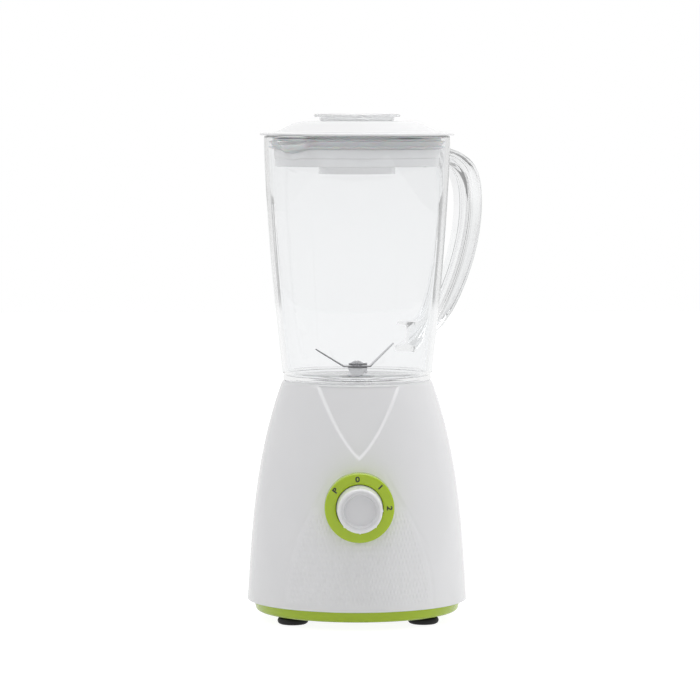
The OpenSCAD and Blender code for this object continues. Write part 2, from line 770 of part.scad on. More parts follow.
module dogs(z, first)
    for (i = [0:dog_count - 1])
        translate([0, 0, z]) rotate_extrude(angle = dog_deg, start = first + 360 * i / dog_count)
            translate([dog_in_r, 0]) square([dog_out_r - dog_in_r, dog_h + 0.5]);

module drive_coupling()
    color(rubber_black) difference() {
        union() {
            translate([0, 0, drive_z]) cylinder(r = collar_r - 1, h = disc_t);
            translate([0, 0, drive_z - 2.2]) cylinder(r = 7.5, h = 3);
            dogs(drive_z + disc_t - 0.5, -dog_deg / 2);
        }
        translate([0, 0, drive_z - 3]) cylinder(r = shaft_r + press, h = disc_t + 4);
    }

module driven_coupling()
    color(rubber_black) difference() {
        union() {
            translate([0, 0, driven_z]) cylinder(r = collar_r - 1, h = disc_t);
            dogs(driven_z - dog_h, 180 / dog_count - dog_deg / 2);
        }
        translate([0, 0, driven_z - 1]) cylinder(r = blade_shaft_r + press, h = disc_t + 2);
    }

// Outline of the jar's outer wall, as a solid of revolution pushed inwards by a depth
module jar_form(depth)
    rotate_extrude($fn = 96) polygon(concat([[0, jar_z + 0.3], [jar_low_r - 2.5 - depth, jar_z + 0.3],
        [jar_low_r - 1.5 - depth, jar_z + 3.8]],
        [for (i = [0:flare_steps]) let (z = wall_low_z + (jar_rim_z + 5 - wall_low_z) * i / flare_steps)
            [jar_r(z) - depth, z]],
        [[0, jar_rim_z + 5]]));

// Moulded handle: a bar with rounded edges, swept between an outer and an inner curve
module handle_bar_sweep() {
    outer_r = handle_reach;
    inner_r = handle_reach - handle_bar;
    top_z = jar_rim_z - 7.8;
    grip_z = jar_z + 132.7;
    root_z = jar_z + 48;
    outer = joined(joined(
        bezier([60, top_z], [outer_r - 9, top_z], [outer_r, grip_z + 28], [outer_r, grip_z], curve_steps),
        bezier([outer_r, grip_z], [outer_r, grip_z - 32], [outer_r - 20, root_z + 14],
            [outer_r - 42, root_z - 7], curve_steps)),
        bezier([outer_r - 42, root_z - 7], [outer_r - 52, root_z - 16], [outer_r - 64, root_z - 25],
            [53, root_z - 32], curve_steps));
    inner = joined(joined(
        bezier([60, top_z - 21], [inner_r - 32, top_z - 9], [inner_r, top_z - 9.5], [inner_r, grip_z],
            curve_steps),
        bezier([inner_r, grip_z], [inner_r, grip_z - 28], [inner_r - 18, root_z + 19],
            [inner_r - 35, root_z], curve_steps)),
        bezier([inner_r - 35, root_z], [inner_r - 42, root_z - 7], [inner_r - 50, root_z - 6],
            [53, root_z - 7], curve_steps));
    last = len(outer) - 1;
    edge = [for (a = [0:45:90]) handle_round * [1 - cos(a), 1 - sin(a)]];
    edge_back = [for (k = [2:-1:0]) edge[k]];
    sides = 12;
    points = [for (i = [0:last])
        let (o = outer[i], n = inner[i], e = (o - n) / norm(o - n), end = abs(2 * i / last - 1),
            half = handle_w / 2 + (handle_root_w - handle_w) / 2 * pow(end, 4))
        each concat(
            [for (k = edge) let (p = n + k[0] * e) [p[0], half - k[1], p[1]]],
            [for (k = edge_back) let (p = o - k[0] * e) [p[0], half - k[1], p[1]]],
            [for (k = edge) let (p = o - k[0] * e) [p[0], k[1] - half, p[1]]],
            [for (k = edge_back) let (p = n + k[0] * e) [p[0], k[1] - half, p[1]]])];
    faces = concat(
        [[for (j = [0:sides - 1]) j]],
        [for (i = [0:last - 1], j = [0:sides - 1])
            let (k = (j + 1) % sides, low = i * sides, high = low + sides)
            each [[low + j, high + j, high + k], [low + j, high + k, low + k]]],
        [[for (j = [sides - 1:-1:0]) last * sides + j]]);
    rotate(handle_dir) polyhedron(points, faces);
}

module spout_hull(wall, top)
    rotate(handle_dir + 180) hull($fn = 32) {
        translate([spout_reach - spout_r, 0, jar_rim_z - 1]) cylinder(r = spout_r - wall, h = 1 + top);
        translate([jar_rim_r - 5, 0, jar_rim_z - spout_h + 4]) sphere(r = 4 - wall / 2);
    }

module jar_ribs() {
    low_z = jar_floor_z - 2;
    top_z = jar_floor_z + rib_h;
    low_x = jar_low_r - jar_wall + rib_inset;
    top_x = jar_r(top_z) - jar_wall + rib_inset;
    tilt = atan((top_x - low_x) / (top_z - low_z));
    length = norm([top_x - low_x, top_z - low_z]);
    intersection() {
        for (a = [0:90:270]) rotate(a + rib_dir) translate([low_x, 0, low_z]) rotate([0, tilt, 0]) {
            cylinder(r1 = rib_low_r, r2 = rib_top_r, h = length);
            translate([0, 0, length]) sphere(r = rib_top_r);
        }
        jar_form(1);
    }
}

module jar() {
    inner_low_z = jar_floor_z + floor_fillet;
    fillet_x = jar_r(inner_low_z) - jar_wall - floor_fillet;
    profile = concat(
        [[floor_hole_r, jar_under_z], [skirt_r, jar_under_z], [skirt_r, jar_z],
            [foot_out_r - 0.8, jar_z], [foot_out_r, jar_z + 0.8], [foot_out_r, jar_z + 2.6],
            [foot_out_r - 0.6, jar_z + 3.8]],
        [for (i = [0:flare_steps]) let (z = wall_low_z + (jar_rim_z - 1 - wall_low_z) * i / flare_steps)
            [jar_r(z), z]],
        [[jar_rim_r - 1, jar_rim_z], [jar_rim_r - jar_wall + 1, jar_rim_z]],
        [for (i = [0:flare_steps]) let (z = jar_rim_z - 1 + (inner_low_z - jar_rim_z + 1) * i / flare_steps)
            [jar_r(z) - jar_wall, z]],
        arc([fillet_x, inner_low_z], floor_fillet, -15, -90, arc_steps),
        [[floor_hole_r, jar_floor_z]]);
    color(clear_plastic) {
        difference() {
            union() {
                rotate_extrude($fn = 96) polygon(profile);
                difference() {
                    union() {
                        handle_bar_sweep();
                        spout_hull(0, 0);
                    }
                    jar_form(1);
                }
            }
            spout_hull(2.5, 2);
        }
        jar_ribs();
    }
}

// Collar that centres the jar in the well: bonded under the jar's floor, with a lug in each notch
module jar_skirt() {
    skirt_in_r = skirt_r - skirt_wall;
    color(clear_plastic) union() {
        rotate_extrude($fn = 96) polygon([[skirt_in_r, skirt_z], [skirt_r, skirt_z],
            [skirt_r, jar_under_z], [skirt_in_r - skirt_flange, jar_under_z],
            [skirt_in_r - skirt_flange, jar_under_z - 2], [skirt_in_r, jar_under_z - 2 - skirt_flange]]);
        on_circle(skirt_r, lug_dirs)
            translate([-1, -lug_w / 2, skirt_z]) cube([1 + lug_proud, lug_w, lug_h]);
    }
}

// Threaded seat of the blade shaft: its six-sided head stands on the jar's floor
module blade_holder() {
    low_z = jar_under_z - nut_h - 1.5;
    hex_z = jar_floor_z + 2;
    color(steel) difference() {
        union() {
            translate([0, 0, low_z]) cylinder(r = holder_r, h = holder_top_z - low_z - 1.5);
            translate([0, 0, jar_floor_z + 1]) cylinder(r = flange_r, h = 1.2);
            translate([0, 0, hex_z]) rotate(30) cylinder(r = holder_hex_r, h = holder_top_z - hex_z, $fn = 6);
        }
        translate([0, 0, low_z - 1.5]) cylinder(r = bushing_r + press, h = 40);
    }
}

module holder_gasket()
    color("gainsboro") tube(flange_r - 0.3, holder_r + 0.1, jar_floor_z, jar_floor_z + 1);

module retaining_nut()
    color(motor_plastic) translate([0, 0, jar_under_z - nut_h]) linear_extrude(nut_h - 0.1) difference() {
        union() {
            circle(r = holder_nut_r);
            on_circle(holder_nut_r - 0.5, [22.5:45:337.5]) square([4, 3], center = true);
        }
        circle(r = holder_r + press);
    }

module shaft_bushings()
    color(brass) {
        tube(bushing_r, blade_shaft_r + run_fit, jar_under_z - nut_h - 1.2, jar_under_z - 0.8);
        tube(bushing_r, blade_shaft_r + run_fit, jar_under_z + 0.5, jar_floor_z + 2.4);
    }

module shaft_lip_seal()
    color(rubber_black) tube(bushing_r, blade_shaft_r + run_fit, jar_floor_z + 2.6, holder_top_z - 0.3);

module blade_shaft() {
    low_z = driven_z + 0.2;
    color(steel) translate([0, 0, low_z]) cylinder(r = blade_shaft_r, h = nut_z + 1.6 - low_z);
}

// One bent wing: tapered, with a ground cutting edge
module wing(root_w, tip_w, bend)
    translate([blade_flat, 0, 0]) rotate([0, -bend, 0]) difference() {
        linear_extrude(blade_t) polygon([[-0.5, -root_w / 2], [wing_len * 0.6, -tip_w * 0.62],
            [wing_len, -tip_w * 0.35], [wing_len, 0], [wing_len * 0.8, tip_w * 0.4], [-0.5, root_w / 2]]);
        translate([2, -root_w / 2 - 1, blade_t]) rotate([-28, 0, 0]) translate([0, -1, 0])
            cube([wing_len + 2, 3, 3]);
    }

module blade(bend_a, bend_b)
    difference() {
        union() {
            linear_extrude(blade_t) square([2 * blade_flat, blade_w], center = true);
            wing(blade_w, 8, bend_a);
            rotate(180) wing(blade_w, 8, bend_b);
        }
        translate([0, 0, -1]) cylinder(r = blade_shaft_r + press, h = blade_t + 2);
    }

module lower_blade()
    color(steel) translate([0, 0, lower_blade_z]) rotate(90) blade(wing_side_deg, wing_side_deg);
module upper_blade()
    color(steel) translate([0, 0, upper_blade_z]) blade(wing_high_deg, wing_low_deg);

module blade_washers()
    color(steel) {
        tube(washer_r, blade_shaft_r + press, holder_top_z + gap, lower_blade_z);
        tube(washer_r, blade_shaft_r + press, driven_z + disc_t, driven_z + disc_t + 0.6);
    }

module cap_nut()
    color(steel) translate([0, 0, nut_z]) difference() {
        union() {
            cylinder(r = 6.4, h = 1.3, $fn = 6);
            rotate_extrude() polygon(concat([[0, 0], [5.2, 0]],
                arc([0, -4.1], 7.5, 45, 90, arc_steps)));
        }
        translate([0, 0, -1]) cylinder(r = blade_shaft_r + press, h = 2.7);
    }

module lid() {
    dome_z = brim_z + brim_t + 1.8;
    groove_z = gasket_z + gasket_h;
    dome = bezier([dome_r, dome_z], [dome_r - 7, dome_z + 3.5], [lid_top_r + 7, lid_top_z],
        [lid_top_r, lid_top_z], curve_steps);
    color(housing_white) rotate_extrude($fn = 96) polygon(concat(
        [[brim_r - 0.5, brim_z], [brim_r, brim_z + 0.4], [brim_r, brim_z + brim_t]],
        dome,
        [[collar_in_r + 0.6, lid_top_z], [collar_in_r, lid_top_z - 0.6], [collar_in_r, collar_low_z],
            [collar_out_r, collar_low_z], [collar_out_r, lid_top_z - lid_t],
            [lid_top_r - 1, lid_top_z - lid_t], [dome_r - 2, dome_z - lid_t + 0.4],
            [plug_r - plug_wall, brim_z + 0.6], [plug_r - plug_wall, plug_low_z],
            [plug_r - plug_taper, plug_low_z], [plug_r - plug_taper, plug_step_z],
            [plug_r, plug_step_z + plug_taper], [plug_r, gasket_z], [plug_r - 1, gasket_z],
            [plug_r - 1, groove_z], [plug_r, groove_z], [plug_r, brim_z]]));
}

// Silicone ring in the plug's groove, with two lips that press on the jar's wall
module lid_gasket() {
    lip_out_r = jar_r(gasket_z + 2) - jar_wall - gap;
    body_r = plug_r + 1;
    color("gainsboro") rotate_extrude($fn = 96) polygon([[plug_r - 1 + press, gasket_z + 0.1],
        [body_r, gasket_z + 0.1], [lip_out_r - 0.4, gasket_z + 1.2], [lip_out_r, gasket_z + 1.8],
        [body_r, gasket_z + 2.2], [body_r, gasket_z + 4.4], [lip_out_r - 0.4, gasket_z + 5.4],
        [lip_out_r, gasket_z + 6], [body_r, gasket_z + 6.4], [body_r, gasket_z + gasket_h - 0.1],
        [plug_r - 1 + press, gasket_z + gasket_h - 0.1]]);
}

module measuring_cap() {
    neck_r = cup_r + 1.6;
    flange_z = cap_top_z - cap_flange_t;
    color(clear_plastic) rotate_extrude($fn = 96) polygon([[0, cap_top_z], [cap_r - 0.7, cap_top_z],
        [cap_r, cap_top_z - 0.7], [cap_r, flange_z + 0.6], [cap_r - 0.6, flange_z], [neck_r, flange_z],
        [neck_r, lid_top_z + gap], [cup_r, lid_top_z + gap], [cup_r, lid_top_z - cup_depth],
        [cup_r - 2, lid_top_z - cup_depth], [cup_r - 2, flange_z - 1], [cup_r - 4, flange_z + 0.2],
        [0, flange_z + 0.2]]);
}

housing_shell();
jar_well();
bottom_cover();
foot(foot_dirs[0]);  // foot_front_left
foot(foot_dirs[1]);  // foot_front_right
foot(foot_dirs[2]);  // foot_rear_left
foot(foot_dirs[3]);  // foot_rear_right
cover_screws();
shaft_seal();
dial_ring();
rotary_switch();
switch_nut();
cord_gland();
interlock_switch();
interlock_pin();
stator_core();
field_coils();
upper_bracket();
lower_bracket();
upper_bearing();
lower_bearing();
brush_holders();
carbon_brushes();
brush_springs();
motor_bolts();
motor_mounts();
mount_screws();
motor_shaft();
armature_core();
armature_windings();
commutator();
cooling_fan();
drive_coupling();
speed_knob();
switch_spindle();
jar();
jar_skirt();
blade_holder();
holder_gasket();
retaining_nut();
shaft_bushings();
shaft_lip_seal();
blade_shaft();
lower_blade();
upper_blade();
blade_washers();
cap_nut();
driven_coupling();
lid();
lid_gasket();
measuring_cap();
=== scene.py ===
from math import cos, pi, radians, sin

import bmesh
import bpy
import numpy as np
from mathutils import Matrix, Vector


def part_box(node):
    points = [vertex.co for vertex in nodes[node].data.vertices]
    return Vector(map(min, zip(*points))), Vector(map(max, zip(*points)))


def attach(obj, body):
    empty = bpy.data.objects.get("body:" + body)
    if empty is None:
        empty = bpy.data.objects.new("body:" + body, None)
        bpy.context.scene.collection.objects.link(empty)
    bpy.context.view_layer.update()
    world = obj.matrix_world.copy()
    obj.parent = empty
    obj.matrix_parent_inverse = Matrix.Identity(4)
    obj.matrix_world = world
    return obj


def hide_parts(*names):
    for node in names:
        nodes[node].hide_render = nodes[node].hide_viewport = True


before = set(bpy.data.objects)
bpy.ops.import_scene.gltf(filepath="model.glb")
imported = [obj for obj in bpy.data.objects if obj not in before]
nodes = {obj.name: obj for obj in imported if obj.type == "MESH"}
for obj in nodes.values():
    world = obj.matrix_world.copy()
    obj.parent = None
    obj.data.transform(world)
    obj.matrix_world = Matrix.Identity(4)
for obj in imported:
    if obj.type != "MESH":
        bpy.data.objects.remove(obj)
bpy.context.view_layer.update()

# -------- motor housing
# One tall flared shell of glossy white ABS, injection moulded round a well for the jar. A V
# panel is sunk into its front from the rim down, and the lower part of the front has a fine
# raised grain. The dial sits between them.
housing_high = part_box("housing_shell")[1]
dial_low, dial_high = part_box("dial_ring")
gland_low, gland_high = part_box("cord_gland")
cover_overlap = 0.0045
base_r = housing_high.x
housing_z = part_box("bottom_cover")[1].z - cover_overlap
rim_z = housing_high.z
rim_r = 0.0574
rim_in_r = 0.0543
rim_round = 0.002
ledge_z = rim_z - 0.008
lip_r = base_r - 0.0047
lip_top_z = housing_z + 0.0025
shell_wall = 0.0026
dial_z = (dial_low.z + dial_high.z) / 2
dial_bore_r = 0.0223
gland_z = (gland_low.z + gland_high.z) / 2
gland_bore_r = 0.0062
panel_sink = 0.0015
v_tip_z = 0.1293
v_lean = 0.85
v_curve = 27
panel_half = 0.0565
panel_narrowing = 0.0211
panel_proud = 0.22 * panel_sink
crease_x = 0.0238
crease_z = 0.114
crease_lean = 1.707
crease_sink = 0.25 * panel_sink
grain_pitch = 0.0027
grain_height = 0.0044
grain_rise = 0.0004
front_angle = 0.76


class Wire:
    """One value in a node tree: arithmetic on it adds Math nodes."""

    def __init__(self, graph, socket):
        self.graph = graph
        self.socket = socket

    def maths(self, operation, *values):
        inputs = dict(enumerate(values))
        return self.graph.node("ShaderNodeMath", {"operation": operation}, inputs)

    def __add__(self, other):
        return self.maths("ADD", self, other)

    def __sub__(self, other):
        return self.maths("SUBTRACT", self, other)

    def __rsub__(self, other):
        return self.maths("SUBTRACT", other, self)

    def __mul__(self, other):
        return self.maths("MULTIPLY", self, other)

    __radd__ = __add__
    __rmul__ = __mul__

    def __truediv__(self, other):
        return self.maths("DIVIDE", self, other)

    def ramp(self, low, high):
        """0 below low, 1 above high, and a smooth rise between."""
        settings = {"interpolation_type": "SMOOTHSTEP"}
        return self.graph.node("ShaderNodeMapRange", settings, {0: self, 1: low, 2: high})

    def node_outputs(self):
        """Every output of the node that this value comes from."""
        return [Wire(self.graph, output) for output in self.socket.node.outputs]


class Graph:
    """Adds nodes to a tree: settings are set first, then inputs are set or linked."""

    def __init__(self, tree):
        self.tree = tree

    def node(self, kind, settings, inputs, output=0):
        made = self.tree.nodes.new(kind)
        for name, value in settings.items():
            setattr(made, name, value)
        for key, value in inputs.items():
            self.put(made.inputs[key], value)
        return Wire(self, made.outputs[output]) if made.outputs else None

    def put(self, socket, value):
        if isinstance(value, Wire):
            self.tree.links.new(value.socket, socket)
        else:
            socket.default_value = value

    def axes(self, vector):
        """The X, Y and Z of a vector."""
        return self.node("ShaderNodeSeparateXYZ", {}, {0: vector}).node_outputs()

    def ray(self, fact):
        """One of the facts that Light Path gives about the ray that arrives."""
        return self.node("ShaderNodeLightPath", {}, {}, fact)


class Finish(Graph):
    """A material: its Principled shader, and the places on the piece in metres."""

    def __init__(self, name, **constants):
        self.material = bpy.data.materials.new(name)
        self.material.use_nodes = True
        super().__init__(self.material.node_tree)
        self.shader = self.tree.nodes["Principled BSDF"]
        for socket, value in constants.items():
            self.set(socket, value)
        self.place = self.node("ShaderNodeTexCoord", {}, {}, "Object")

    def set(self, socket, value):
        self.put(self.shader.inputs[socket.replace("_", " ")], value)

    def noise(self, size, detail=3.0, stretch=(1, 1, 1)):
        """Soft random patches about size metres across."""
        scale = tuple(axis / size for axis in stretch)
        times = {"operation": "MULTIPLY"}
        spot = self.node("ShaderNodeVectorMath", times, {0: self.place, 1: scale})
        inputs = {"Vector": spot, "Scale": 1.0, "Detail": detail}
        return self.node("ShaderNodeTexNoise", {}, inputs)

    def mix(self, factor, low, high):
        """A colour between two others."""
        settings = {"data_type": "RGBA", "clamp_factor": True}
        return self.node("ShaderNodeMix", settings, {0: factor, 6: (*low, 1), 7: (*high, 1)}, 2)

    def colour(self, factor, low, high):
        self.set("Base Color", self.mix(factor, low, high))

    def rough(self, least, spread, size, detail=3.0):
        """Roughness from least up to spread more, in patches about size metres across."""
        self.set("Roughness", least + spread * self.noise(size, detail))

    def bump(self, height, distance):
        inputs = {"Height": height, "Distance": distance, "Strength": 1.0}
        self.set("Normal", self.node("ShaderNodeBump", {}, inputs))

    def plain(self):
        return Wire(self, self.shader.outputs[0])

    def surface(self, shader):
        """Takes a shader of its own in place of the plain Principled one."""
        self.put(self.tree.nodes["Material Output"].inputs["Surface"], shader)


def moulded_skin(finish, roughness):
    """The skin of an injection moulding: polished but not perfect."""
    finish.rough(roughness, 0.07, 0.012, 4.0)
    finish.bump(finish.noise(0.0011, 2.0) + 0.6 * finish.noise(0.009, 1.0), 0.00004)


def moulded(name, colour, shade, roughness, coat, **constants):
    """Injection-moulded plastic with faint flow clouding."""
    finish = Finish(name, IOR=1.5, Coat_Weight=coat, Coat_Roughness=0.05, **constants)
    finish.colour(finish.noise(0.03, 2.0), colour, shade)
    moulded_skin(finish, roughness)
    return finish


def placed(name, data):
    """A new object in the scene."""
    made = bpy.data.objects.new(name, data)
    bpy.context.scene.collection.objects.link(made)
    return made


def piece_from(name, verts, faces, finish, sharp=35):
    """A smooth-shaded mesh, its doubles merged, its normals outwards, its hard edges hard."""
    mesh = bpy.data.meshes.new(name)
    mesh.from_pydata(verts, [], faces)
    shape = bmesh.new()
    shape.from_mesh(mesh)
    bmesh.ops.remove_doubles(shape, verts=shape.verts, dist=1e-6)
    bmesh.ops.dissolve_degenerate(shape, edges=shape.edges, dist=1e-7)
    bmesh.ops.recalc_face_normals(shape, faces=shape.faces)
    shape.to_mesh(mesh)
    shape.free()
    mesh.materials.append(finish and finish.material)
    made = placed(name, mesh)
    shade_smooth(made, sharp)
    return made


def shade_smooth(piece, sharp=35):
    piece.data.shade_smooth()
    piece.data.set_sharp_from_angle(angle=radians(sharp))


def rounded(outline, steps=4):
    """A closed outline of (x, y, radius) corners, each turned into an arc of its radius."""
    points = []
    count = len(outline)
    for i, (x, y, radius) in enumerate(outline):
        here = Vector((x, y))
        back = Vector(outline[i - 1][:2]) - here
        on = Vector(outline[(i + 1) % count][:2]) - here
        if radius <= 0:
            points.append((x, y))
            continue
        reach = min(radius, back.length * 0.45, on.length * 0.45)
        start = here + back.normalized() * reach
        end = here + on.normalized() * reach
        for k in range(steps + 1):
            t = k / steps
            curve = start * (1 - t) ** 2 + here * 2 * t * (1 - t) + end * t * t
            points.append((curve.x, curve.y))
    return points


def lathe(name, outline, finish, angles, shape=None, sharp=35):
    """A closed outline of (radius, height) turned round Z, at a number or a list of angles."""
    turn = np.arange(angles) * 2 * pi / angles if isinstance(angles, int) else angles
    outline = np.array(outline)
    rings, steps = len(outline), len(turn)
    radius = np.repeat(outline[:, :1], steps, axis=1)
    height = np.repeat(outline[:, 1:], steps, axis=1)
    if shape:
        radius, height = shape(radius, height, turn)
    verts = np.stack([radius * np.cos(turn), radius * np.sin(turn), height], axis=2).reshape(-1, 3)
    i, j = np.meshgrid(np.arange(rings), np.arange(steps), indexing="ij")
    i2, j2 = (i + 1) % rings, (j + 1) % steps
    quads = np.stack([i * steps + j, i * steps + j2, i2 * steps + j2, i2 * steps + j], axis=2)
    return piece_from(name, verts.tolist(), quads.reshape(-1, 4).tolist(), finish, sharp)


def combine(piece, tool, operation):
    """Cuts the tool out of the piece, or joins it on, as one closed solid."""
    change = piece.modifiers.new("combine", "BOOLEAN")
    change.solver = "MANIFOLD"
    change.operation = operation
    change.object = tool
    settled(piece)
    bpy.data.objects.remove(tool)


def plain_mesh(piece):
    """The mesh that a piece's modifiers, or its curve, come to."""
    graph = bpy.context.evaluated_depsgraph_get()
    return bpy.data.meshes.new_from_object(piece.evaluated_get(graph))


def settled(piece):
    """Turns the piece's modifiers into plain mesh."""
    mesh = plain_mesh(piece)
    piece.modifiers.clear()
    piece.data = mesh
    shade_smooth(piece)


def facing_front(piece):
    """Turns a piece made upright to face out of the front, on the dial's axis."""
    piece.data.transform(Matrix.Translation((0, 0, dial_z)) @ Matrix.Rotation(pi / 2, 4, "X"))


def facing_back(piece):
    """Turns a piece made upright to face out of the back, on the cord gland's axis."""
    piece.data.transform(Matrix.Translation((0, 0, gland_z)) @ Matrix.Rotation(-pi / 2, 4, "X"))


def rod(name, radius, low, high, angles=64):
    """A plain cylinder, used as a cutter."""
    outline = [(0, low), (radius, low), (radius, high), (0, high)]
    return lathe(name, outline, None, angles)


def arc(x, y, radius, start, end, count):
    """Points along an arc about a centre, from one angle to another."""
    return [(x + radius * cos(a), y + radius * sin(a)) for a in np.linspace(start, end, count)]


def flare(z):
    """Radius of the housing's outer face at a height."""
    t = (z - housing_z) / (rim_z - housing_z)
    return base_r - (base_r - rim_r) * (0.35 * t + 0.65 * t**3)


def step(distance, width):
    """0 before an edge, 1 a width past it, smooth between."""
    t = np.clip(distance / width, 0, 1)
    return t * t * (3 - 2 * t)


def sunk(x, z):
    """Depth below the flare of the V panel, and of the lower panel's soft crease and grain."""
    side = np.abs(x)
    v_edge = v_tip_z + v_lean * side + v_curve * side**2
    v_slope = v_lean + 2 * v_curve * side
    depth = panel_sink * step((z - v_edge) / np.sqrt(1 + v_slope**2) + 0.0004, 0.0022)
    half = panel_half - panel_narrowing * ((z - housing_z) / (dial_z - housing_z)) ** 2
    edge = np.minimum(np.minimum(half - side, dial_z - 0.0012 - z), z - housing_z - 0.003)
    depth -= panel_proud * step(edge, 0.0012)
    crease = crease_z - crease_lean * (side - crease_x)
    fade = step(side - 0.018, 0.01) * step(0.06 - side, 0.014)
    crease_share = np.maximum(fade, step(edge + 0.004, 0.004))
    depth += crease_sink * step((crease - z) / 1.98 + 0.001, 0.003) * crease_share
    row = (z - housing_z) / grain_height
    across = (x / grain_pitch + 0.5 * (np.floor(row) % 2)) % 1 - 0.5
    along = row % 1 - 0.5
    grain = np.clip(1 - (2.2 * across) ** 2, 0, 1) * np.clip(1 - (2.2 * along) ** 4, 0, 1)
    return depth - grain_rise * step(edge - 0.0015, 0.003) * grain


def sink_front(radius, height, turn):
    """Moves the front half of the outer face inwards, by the depth of its panels."""
    x = radius * np.cos(turn)
    front = (np.sin(turn) < 0) & (np.arange(len(radius))[:, None] < outer_rows)
    return radius - np.where(front, sunk(x, height), 0), height


panel_rows = np.arange(housing_z + 0.0022, dial_z, grain_height / 4)
upper_rows = np.arange(dial_z, rim_z - 0.0021, 0.0012)
heights = np.concatenate([[housing_z + 0.0003, housing_z + 0.001], panel_rows, upper_rows])
outer = [(base_r - 0.0012, housing_z), (base_r - 0.0006, housing_z + 0.0001)]
outer += [(flare(z), z) for z in heights]
outer_rows = len(outer)
rim = arc(flare(rim_z) - rim_round, rim_z - rim_round, rim_round, 0.3, pi / 2, 6)
rim += [(rim_in_r + 0.0008, rim_z), (rim_in_r + 0.0002, rim_z - 0.0002), (rim_in_r, rim_z - 0.0008)]
inside = [(rim_in_r, ledge_z)]
inside += [(flare(z) - shell_wall, z) for z in np.linspace(ledge_z, lip_top_z, 16)]
inside += [(lip_r, lip_top_z), (lip_r, housing_z)]
front_turns = np.arange(-front_angle, front_angle, 0.0042)
other_turns = np.linspace(front_angle + 0.01, 2 * pi - front_angle - 0.01, 110)
around = np.concatenate([front_turns, other_turns]) - pi / 2

white_abs = moulded("white_abs", (0.80, 0.80, 0.81), (0.77, 0.77, 0.785), 0.16, 0.25)
housing = lathe("motor_housing", outer + rim + inside, white_abs, around, sink_front, 50)
dial_bore = rod("dial_bore", dial_bore_r, 0.05, 0.1)
facing_front(dial_bore)
combine(housing, dial_bore, "DIFFERENCE")
gland_bore = rod("gland_bore", gland_bore_r, 0.07, 0.1)
facing_back(gland_bore)
combine(housing, gland_bore, "DIFFERENCE")
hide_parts("housing_shell")
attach(housing, "base")


# -------- jar well
# A white ABS well takes the jar's skirt. It is welded under the shell's rim, four slots in
# its wall guide the jar's lugs, and posts under its floor carry the motor. The pin that the
# jar pushes down on the interlock switch is moulded in the same white ABS.
def paint(finish, *names):
    """Gives CAD nodes that stay in view a finish."""
    for name in names:
        for place in nodes[name].material_slots:
            place.material = finish.material


# Its faint glow stands for light that goes to and fro between the well and the jar.
well_abs = Finish("well_white_abs", IOR=1.5, Emission_Color=(1, 1, 1, 1), Emission_Strength=0.12)
well_abs.colour(well_abs.noise(0.03, 2.0), (0.84, 0.84, 0.85), (0.81, 0.81, 0.825))
well_abs.rough(0.3, 0.07, 0.012, 4.0)
well_abs.bump(well_abs.noise(0.0011, 2.0), 0.00004)
paint(well_abs, "jar_well")
paint(white_abs, "interlock_pin")


# -------- bottom cover
# A shallow tray of yellow-green ABS closes the housing from below. It is clipped inside the
# shell's lip, and a ring of slots under the fan lets the cooling air out.
cover_low, cover_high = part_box("bottom_cover")
cover_r = cover_high.x
cover_z = cover_low.z
cover_top_z = cover_z + 0.0025
screw_circle_r = 0.066
screw_angle = radians(20)
screw_x = screw_circle_r * cos(screw_angle)
screw_y = screw_circle_r * sin(screw_angle)
screw_hole_r = 0.0018
screw_seat_r = 0.0035
screw_seat_z = cover_z + 0.0015
foot_hole_r = 0.004
foot_x = 0.05
foot_y = 0.04
below_cover = 0.002
above_cover = 0.015


class Pattern(Graph):
    """A Geometry Nodes tree that repeats a piece, with named inputs for its sizes."""

    def __init__(self, name, **sizes):
        super().__init__(bpy.data.node_groups.new(name, "GeometryNodeTree"))
        self.socket("Geometry", "Geometry")
        for label, value in sizes.items():
            self.socket(label, "Int" if isinstance(value, int) else "Float").default_value = value
        self.socket("Material", "Material")
        self.socket("Geometry", "Geometry", "OUTPUT")
        given = self.node("NodeGroupInput", {}, {}).node_outputs()
        self.given = {wire.socket.name: wire for wire in given}

    def socket(self, label, kind, way="INPUT"):
        return self.tree.interface.new_socket(label, in_out=way, socket_type="NodeSocket" + kind)

    def repeat(self, points, turn):
        """Puts a copy of the piece on each point, turned by an angle about the Z axis."""
        spin = self.node("ShaderNodeCombineXYZ", {}, {"Z": turn})
        places = {"Points": points, "Instance": self.given["Geometry"], "Rotation": spin}
        copies = self.node("GeometryNodeInstanceOnPoints", {}, places)
        solid = self.node("GeometryNodeRealizeInstances", {}, {"Geometry": copies})
        look = {"Geometry": solid, "Material": self.given["Material"]}
        painted = self.node("GeometryNodeSetMaterial", {}, look)
        self.node("NodeGroupOutput", {}, {"Geometry": painted})


def repeated(piece, pattern, finish, **sizes):
    """Repeats the piece by a pattern and leaves plain mesh."""
    change = piece.modifiers.new(pattern.tree.name, "NODES")
    change.node_group = pattern.tree
    values = dict(sizes, Material=finish.material)
    for socket in pattern.tree.interface.items_tree:
        if socket.in_out == "INPUT" and socket.name in values:
            change[socket.identifier] = values[socket.name]
    settled(piece)


# Copies round a circle, each turned to face out from its centre
ring_copies = Pattern("ring_of_copies", Count=8, Radius=0.02)
ring_sizes = {"Vertices": ring_copies.given["Count"], "Radius": ring_copies.given["Radius"]}
ring_points = ring_copies.node("GeometryNodeMeshCircle", {}, ring_sizes)
ring_index = ring_copies.node("GeometryNodeInputIndex", {}, {})
ring_copies.repeat(ring_points, ring_index * (2 * pi) / ring_copies.given["Count"])

# Copies at the four corners of a rectangle
corner_copies = Pattern("corner_copies", Width=0.1, Depth=0.08)
corner_sizes = {"Size X": corner_copies.given["Width"], "Size Y": corner_copies.given["Depth"],
                "Vertices X": 2, "Vertices Y": 2}
corner_copies.repeat(corner_copies.node("GeometryNodeMeshGrid", {}, corner_sizes), 0.0)


